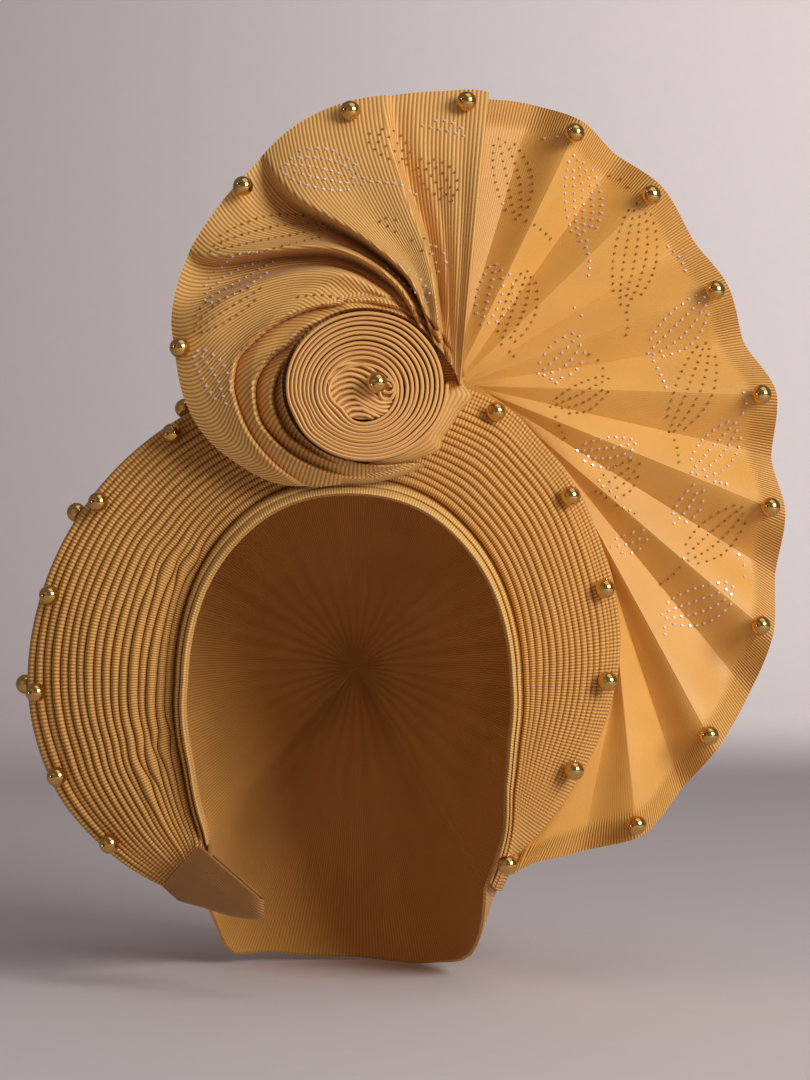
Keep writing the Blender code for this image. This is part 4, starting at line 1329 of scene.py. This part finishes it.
def stoneMesh():
    # a flat-backed cut stone: a table, one ring of facets and the girdle
    bpy.ops.object.select_all(action="DESELECT")
    bpy.ops.mesh.primitive_cylinder_add(vertices=stoneSettings["sides"], radius=stoneSettings["radius"],
                                        depth=stoneSettings["height"], end_fill_type="NGON")
    stone = bpy.context.object
    for face in stone.data.polygons:
        face.select = face.normal.z > 0.5
    bpy.ops.object.mode_set(mode="EDIT")
    bpy.ops.mesh.select_mode(type="FACE")
    bpy.ops.object.mode_set(mode="OBJECT")
    for face in stone.data.polygons:
        face.select = face.normal.z > 0.5
    bpy.ops.object.mode_set(mode="EDIT")
    bpy.ops.transform.resize(value=(stoneSettings["table"], stoneSettings["table"], 1))
    bpy.ops.object.mode_set(mode="OBJECT")
    mesh = stone.data.copy()
    bpy.data.objects.remove(stone)
    return mesh


def joinStones(name, spots, pattern):
    # spots: (point, outward direction, turn about it)
    joined = bmesh.new()
    for point, outward, turn in spots:
        before = len(joined.verts)
        joined.from_mesh(pattern)
        joined.verts.ensure_lookup_table()
        facing = outward.to_track_quat("Z", "Y").to_matrix().to_4x4() @ Matrix.Rotation(turn, 4, "Z")
        bmesh.ops.transform(joined, matrix=Matrix.Translation(point) @ facing, verts=joined.verts[before:])
    mesh = bpy.data.meshes.new(name)
    joined.to_mesh(mesh)
    joined.free()
    made = bpy.data.objects.new(name, mesh)
    scene.collection.objects.link(made)
    return made


def spotsOn(piece, leaves, kind, chance):
    # sets the stones of one kind on the front of the cloth
    s = stoneSettings
    cloth = BVHTree.FromObject(piece, bpy.context.evaluated_depsgraph_get())
    spots = []
    for leafKind, head, foot, tail, width in leaves:
        if leafKind != kind:
            continue
        for x, z in leafPlaces(head, foot, tail, width):
            start = Vector((x / 1000, cadBox[0].y - s["castFrom"], z / 1000))
            hit, normal = cloth.ray_cast(start, Vector((0, 1, 0)))[:2]
            if hit is not None:
                outward = normal if normal.y < 0 else -normal
                turn = chance.uniform(0, 2 * math.pi)
                spots.append((hit + outward * (s["height"] * s["proud"]), outward, turn))
    return spots


chance = random.Random(9)
pattern = stoneMesh()
stones = {}
for kind in ("crystal", "brown"):
    spots = spotsOn(fan, stoneSettings["fanLeaves"], kind, chance)
    spots += spotsOn(skirt, stoneSettings["skirtLeaves"], kind, chance)
    stones[kind] = joinStones(kind + "Stones", spots, pattern)
    print("stones:", len(spots), kind)
crystalStones, brownStones = stones["crystal"], stones["brown"]


# Materials
def linear(code):
    parts = [int(code[i:i + 2], 16) / 255 for i in (1, 3, 5)]
    return tuple(p / 12.92 if p <= 0.04045 else ((p + 0.055) / 1.055) ** 2.4 for p in parts) + (1.0,)


def addNode(tree, kind, settings=None, values=None):
    # adds a node, sets its settings, and gives its inputs a value or a link
    node = tree.nodes.new("ShaderNode" + kind)
    for name, value in (settings or {}).items():
        setattr(node, name, value)
    for name, value in (values or {}).items():
        if isinstance(value, bpy.types.NodeSocket):
            tree.links.new(value, node.inputs[name])
        else:
            node.inputs[name].default_value = value
    return node


def newMaterial(name):
    made = bpy.data.materials.new(name)
    made.use_nodes = True
    tree = made.node_tree
    tree.nodes.clear()
    shader = addNode(tree, "BsdfPrincipled")
    out = addNode(tree, "OutputMaterial")
    tree.links.new(shader.outputs["BSDF"], out.inputs["Surface"])
    return made, tree, shader


def cordedCloth(name, pitch, ribHeight, crest, body, groove, direction="X", plainPart=None, foldMm=0.0,
                pleatShadeColour="#6A3C14", ribContrast=1.0, roughness=0.55):
    # corded polyester cloth: a fine rib every pitch millimetres, with a painted highlight of soft satin
    # light along its crest and painted shade in its groove
    made, tree, shader = newMaterial(name)
    uv = addNode(tree, "UVMap", {"uv_map": "clothMm"})
    ribs = addNode(tree, "TexWave",
                   {"wave_type": "BANDS", "bands_direction": direction, "wave_profile": "SIN"},
                   {"Vector": uv.outputs["UV"], "Scale": 0.314159 / pitch, "Distortion": 0.35,
                    "Detail": 1.0, "Detail Scale": 0.2})
    spots = addNode(tree, "TexCoord")
    cloud = addNode(tree, "TexNoise", {}, {"Vector": spots.outputs["Object"], "Scale": 28.0, "Detail": 3.0,
                                          "Roughness": 0.55})
    yarn = addNode(tree, "TexNoise", {}, {"Vector": uv.outputs["UV"], "Scale": 1.1, "Detail": 2.0,
                                         "Roughness": 0.6})
    separate = addNode(tree, "SeparateXYZ", {}, {"Vector": uv.outputs["UV"]})
    centred = addNode(tree, "Math", {"operation": "SUBTRACT"}, {0: ribs.outputs["Fac"], 1: 0.6})
    scaled = addNode(tree, "Math", {"operation": "MULTIPLY"}, {0: centred.outputs[0], 1: ribContrast})
    if plainPart:
        # the ribs fade to fine lines between these two places across the cloth
        fade = addNode(tree, "MapRange", {"interpolation_type": "SMOOTHSTEP"},
                       {"Value": separate.outputs["Y"], "From Min": plainPart[0], "From Max": plainPart[1],
                        "To Min": plainPart[2], "To Max": 1.0})
        scaled = addNode(tree, "Math", {"operation": "MULTIPLY"},
                         {0: scaled.outputs[0], 1: fade.outputs["Result"]})
    ribAmount = addNode(tree, "Math", {"operation": "ADD"}, {0: scaled.outputs[0], 1: 0.6}).outputs[0]
    # painted light on the ribs: the crest colour is lighter and the groove colour darker, on top of the
    # bump
    ramp = addNode(tree, "ValToRGB", {}, {"Fac": ribAmount})
    ramp.color_ramp.elements[0].position = 0.05
    ramp.color_ramp.elements[0].color = linear(groove)
    ramp.color_ramp.elements[1].position = 0.95
    ramp.color_ramp.elements[1].color = linear(crest)
    middle = ramp.color_ramp.elements.new(0.42)
    middle.color = linear(body)
    tone = addNode(tree, "MapRange", {}, {"Value": cloud.outputs["Fac"], "From Min": 0.3, "From Max": 0.7,
                                          "To Min": 0.92, "To Max": 1.06})
    fleck = addNode(tree, "MapRange", {}, {"Value": yarn.outputs["Fac"], "From Min": 0.2, "From Max": 0.8,
                                           "To Min": 0.95, "To Max": 1.05})
    both = addNode(tree, "Math", {"operation": "MULTIPLY"},
                   {0: tone.outputs["Result"], 1: fleck.outputs["Result"]})
    colour = addNode(tree, "Mix", {"data_type": "RGBA", "blend_type": "MULTIPLY"},
                     {"Factor": 1.0, 6: ramp.outputs["Color"], 7: both.outputs[0]})
    base = colour.outputs[2]
    if foldMm:
        # painted shade: a darker, redder colour in the valley where two pleats press together, where shade
        # falls
        share = addNode(tree, "Math", {"operation": "DIVIDE"}, {0: separate.outputs["Y"], 1: foldMm})
        turn = addNode(tree, "Math", {"operation": "PINGPONG"}, {0: share.outputs[0], 1: 0.5})
        pleatShadeMask = addNode(tree, "MapRange", {"interpolation_type": "SMOOTHSTEP"},
                       {"Value": turn.outputs[0], "From Min": 0.02, "From Max": 0.17,
                        "To Min": 0.9, "To Max": 0.0})
        base = addNode(tree, "Mix", {"data_type": "RGBA"},
                       {"Factor": pleatShadeMask.outputs["Result"], 6: base, 7: linear(pleatShadeColour)}).outputs[2]
    tree.links.new(base, shader.inputs["Base Color"])
    height = addNode(tree, "Math", {"operation": "MULTIPLY_ADD"},
                     {0: yarn.outputs["Fac"], 1: 0.12, 2: ribAmount})
    bump = addNode(tree, "Bump", {}, {"Height": height.outputs[0], "Distance": ribHeight, "Strength": 0.9})
    tree.links.new(bump.outputs["Normal"], shader.inputs["Normal"])
    shader.inputs["Roughness"].default_value = roughness
    shader.inputs["Sheen Weight"].default_value = 0.06
    shader.inputs["Sheen Roughness"].default_value = 0.4
    shader.inputs["Specular IOR Level"].default_value = 0.3
    return made


# pitch and height of the ribs, then the colours of crest (painted highlight), body and groove (painted
# shade)
haloCloth = cordedCloth("cordedPolyesterHalo", 1.35, 0.0003, "#E0AB5E", "#D09548", "#9A6228",
                        foldMm=haloSettings["pleatMm"], ribContrast=0.8)
wrapCloth = cordedCloth("cordedPolyesterWall", 1.35, 0.0003, "#DCA558", "#C98E43", "#905A23")
skirtCloth = cordedCloth("cordedPolyesterSkirt", 1.7, 0.0003, "#E4B067", "#DAA256", "#A57036",
                         ribContrast=0.85)
bandCloth = cordedCloth("cordedPolyesterBand", 1.05, 0.0002, "#E6BA70", "#D9A658", "#A87436",
                        ribContrast=0.7)
collarCloth = cordedCloth("cordedPolyesterCollar", 1.3, 0.0002, "#D4A35C", "#C89148", "#9A6832",
                          ribContrast=0.65)
plainCloth = cordedCloth("cordedPolyesterPlain", 1.3, 0.00012, "#D0994E", "#C78F48", "#B67F3B")
# painted shade: the tab's colours are a darker copy of the same cloth, for the shade it hangs in
tabCloth = cordedCloth("cordedPolyesterTab", 1.3, 0.00015, "#B27C40", "#A67138", "#8C5C2A")
rosetteCloth = cordedCloth("cordedPolyesterRosette", 0.9, 0.00008, "#E6B26D", "#DEA560", "#C48E4E",
                           direction="Y", roughness=0.6)
fanCloth = cordedCloth("satinPolyesterFan", 1.3, 0.0003, "#DEA453", "#D69A48", "#A66C2A",
                       plainPart=(-14, -7.5, 0.14), roughness=0.4)


def mottled(name, scale, detail, stops, metallic):
    # a shiny material whose colour varies softly between two stops, each a position and a colour
    made, tree, shader = newMaterial(name)
    spots = addNode(tree, "TexCoord")
    noise = addNode(tree, "TexNoise", {}, {"Vector": spots.outputs["Object"], "Scale": scale,
                                          "Detail": detail})
    tint = addNode(tree, "ValToRGB", {}, {"Fac": noise.outputs["Fac"]})
    for element, (position, colour) in zip(tint.color_ramp.elements, stops):
        element.position, element.color = position, linear(colour)
    tree.links.new(tint.outputs["Color"], shader.inputs["Base Color"])
    shader.inputs["Metallic"].default_value = metallic
    return made, tree, shader, noise


# gold-plated resin beads: mirror-like, deep yellow
gold, tree, shader, wear = mottled("goldPlatedResin", 900.0, 2.0, ((0.0, "#C2924A"), (1.0, "#E2BB74")), 1.0)
rough = addNode(tree, "MapRange", {}, {"Value": wear.outputs["Fac"], "To Min": 0.08, "To Max": 0.2})
tree.links.new(rough.outputs["Result"], shader.inputs["Roughness"])

# foil-backed glass stones: bright facets, each catching the light its own way
crystalGlass, _, shader, _ = mottled("foilBackedGlassCrystal", 700.0, 1.0,
                                     ((0.3, "#D6CCE6"), (0.7, "#FFFFFF")), 0.5)
shader.inputs["Roughness"].default_value = 0.22
brownGlass, _, shader, _ = mottled("foilBackedGlassBrown", 700.0, 1.0,
                                   ((0.3, "#86581F"), (0.75, "#CC9C4C")), 0.35)
shader.inputs["Roughness"].default_value = 0.18

for piece, cloth in ((cap, plainCloth), (band, bandCloth), (halo, haloCloth), (wrap, wrapCloth),
                     (fan, fanCloth),
                     (skirt, skirtCloth), (rosette, rosetteCloth), (firstFolds, rosetteCloth),
                     (collar, collarCloth), (tab, tabCloth), (crystalStones, crystalGlass),
                     (brownStones, brownGlass), *((bead, gold) for bead in beads)):
    piece.data.materials.clear()
    piece.data.materials.append(cloth)
print("materials set")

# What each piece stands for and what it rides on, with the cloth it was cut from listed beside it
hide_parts("base_cap")
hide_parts("face_band")
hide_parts("pleated_halo")
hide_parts("halo_wrap")
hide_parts("fan")
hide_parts("rosette")
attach(firstFolds, "root")
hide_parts("rosette_skirt")
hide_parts("rosette_collar")
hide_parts("side_tab")
for piece, slot in ((cap, "cap_cloth"), (band, "ribbed_cloth"), (halo, "ribbed_cloth"),
                    (wrap, "ribbed_cloth"), (fan, "fan_cloth"), (rosette, "ribbed_cloth"),
                    (skirt, "ribbed_cloth"), (collar, "ribbed_cloth"),
                    (tab, "ribbed_cloth")):
    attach(piece, "root")
for bead in beads:
    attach(bead, "root")
for piece in (crystalStones, brownStones):
    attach(piece, "root")


# Each piece of cloth: the flat size it was cut to in metres, its area where the cut is no rectangle,
# how it is held and what it rests on
sheetSettings = (
    (cap, (0.30, 0.36), 0.083, "stretched", ()),
    (band, (0.017, 0.36), None, "folded", ("capCloth",)),
    (halo, (0.095, 0.47), None, "gathered", ("bandCloth", "capCloth")),
    (wrap, (0.085, 0.56), None, "gathered", ("haloPleats", "capCloth")),
    (fan, (0.125, 0.45), 0.031, "folded", ("wrapCloth",)),
    (skirt, (0.12, 0.26), 0.023, "folded", ("haloPleats", "fanCloth")),
    (rosette, (0.040, 1.42), None, "folded", ("skirtCloth",)),
    (firstFolds, (0.04, 0.21), None, "folded", ("rosetteCoil",)),
    (collar, (0.016, 0.24), None, "gathered", ("haloPleats",)),
    (tab, (0.042, 0.045), None, "folded", ("haloPleats",)),
)
for piece, flat, area, held, restsOn in sheetSettings:
    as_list(restsOn)
print("sheets declared:", len(sheetSettings))

# Floor and backdrop in one sweep, plain and pale
stageSettings = {
    "floorGap": 0.0005,
    "wallDepth": 2.9,
    "size": 8.0,
    "bend": 0.9,
    "bendSteps": 32,
    "colour": "#D2C8C6",
    "roughness": 0.9,
}


def buildStage():
    s = stageSettings
    floor = cadBox[0].z - s["floorGap"]
    bpy.ops.object.select_all(action="DESELECT")
    bpy.ops.mesh.primitive_plane_add(size=s["size"], location=(0, s["wallDepth"] - s["size"] / 2, floor))
    sweep = bpy.context.object
    sweep.name = "sweep"
    bpy.ops.object.transform_apply(location=True, rotation=False, scale=False)
    bpy.ops.object.mode_set(mode="EDIT")
    bpy.ops.mesh.select_mode(type="EDGE")
    bpy.ops.mesh.select_all(action="DESELECT")
    bpy.ops.object.mode_set(mode="OBJECT")
    for edge in sweep.data.edges:
        edge.select = all(sweep.data.vertices[v].co.y > s["wallDepth"] - 0.01 for v in edge.vertices)
    bpy.ops.object.mode_set(mode="EDIT")
    bpy.ops.mesh.extrude_region_move(TRANSFORM_OT_translate={"value": (0, 0, s["size"] / 2)})
    bpy.ops.mesh.select_all(action="DESELECT")
    bpy.ops.object.mode_set(mode="OBJECT")
    for edge in sweep.data.edges:
        ends = [sweep.data.vertices[v].co for v in edge.vertices]
        edge.select = all(end.y > s["wallDepth"] - 0.01 and end.z < floor + 0.01 for end in ends)
    bpy.ops.object.mode_set(mode="EDIT")
    bpy.ops.mesh.bevel(offset=s["bend"], segments=s["bendSteps"])
    bpy.ops.object.mode_set(mode="OBJECT")
    bpy.ops.object.shade_smooth_by_angle(angle=math.radians(30))
    paper, tree, shader = newMaterial("mattBackdropPaper")
    spots = addNode(tree, "TexCoord")
    grain = addNode(tree, "TexNoise", {}, {"Vector": spots.outputs["Object"], "Scale": 60.0, "Detail": 4.0})
    tint = addNode(tree, "MapRange", {}, {"Value": grain.outputs["Fac"], "To Min": 0.98, "To Max": 1.02})
    colour = addNode(tree, "Mix", {"data_type": "RGBA", "blend_type": "MULTIPLY"},
                     {"Factor": 1.0, 6: linear(s["colour"]), 7: tint.outputs["Result"]})
    tree.links.new(colour.outputs[2], shader.inputs["Base Color"])
    shader.inputs["Roughness"].default_value = s["roughness"]
    sweep.data.materials.append(paper)


buildStage()

# Camera where the photograph was taken, level with the middle of the picture
cameraSettings = {"place": (0.022, -1.2, -0.0388), "lens": 96.7}
cameraData = bpy.data.cameras.new("camera")
cameraData.lens = cameraSettings["lens"]
cameraData.sensor_width = 36
camera = bpy.data.objects.new("camera", cameraData)
camera.location = cameraSettings["place"]
camera.rotation_euler = (math.radians(90), 0, 0)
scene.collection.objects.link(camera)
scene.camera = camera

# Soft light, mostly from the upper right
lightSettings = {
    "key": {"place": (1.2, -1.2, 0.6), "aim": (0, 0, -0.04), "size": 0.8, "power": 27},
    "fill": {"place": (-1.1, -1.3, 0.3), "aim": (0, 0, -0.04), "size": 1.4, "power": 0.9},
    "top": {"place": (0.5, -0.5, 1.5), "aim": (0, 0, -0.04), "size": 1.2, "power": 4},
    "backdrop": {"place": (0.9, 1.5, 0.9), "aim": (0.7, 2.9, 0.4), "size": 1.0, "power": 18},
}
for name, light in lightSettings.items():
    data = bpy.data.lights.new(name, "AREA")
    data.size = light["size"]
    data.energy = light["power"]
    lamp = bpy.data.objects.new(name, data)
    lamp.location = light["place"]
    lamp.rotation_euler = (Vector(light["aim"]) - lamp.location).to_track_quat("-Z", "Y").to_euler()
    lamp.visible_camera = False
    scene.collection.objects.link(lamp)
world = bpy.data.worlds.new("studio")
scene.world = world
world.use_nodes = True
background = world.node_tree.nodes["Background"]
background.inputs["Color"].default_value = linear("#C9C0C2")
background.inputs["Strength"].default_value = 0.3
scene.view_settings.view_transform = "Standard"
print("stage, camera and lights set")
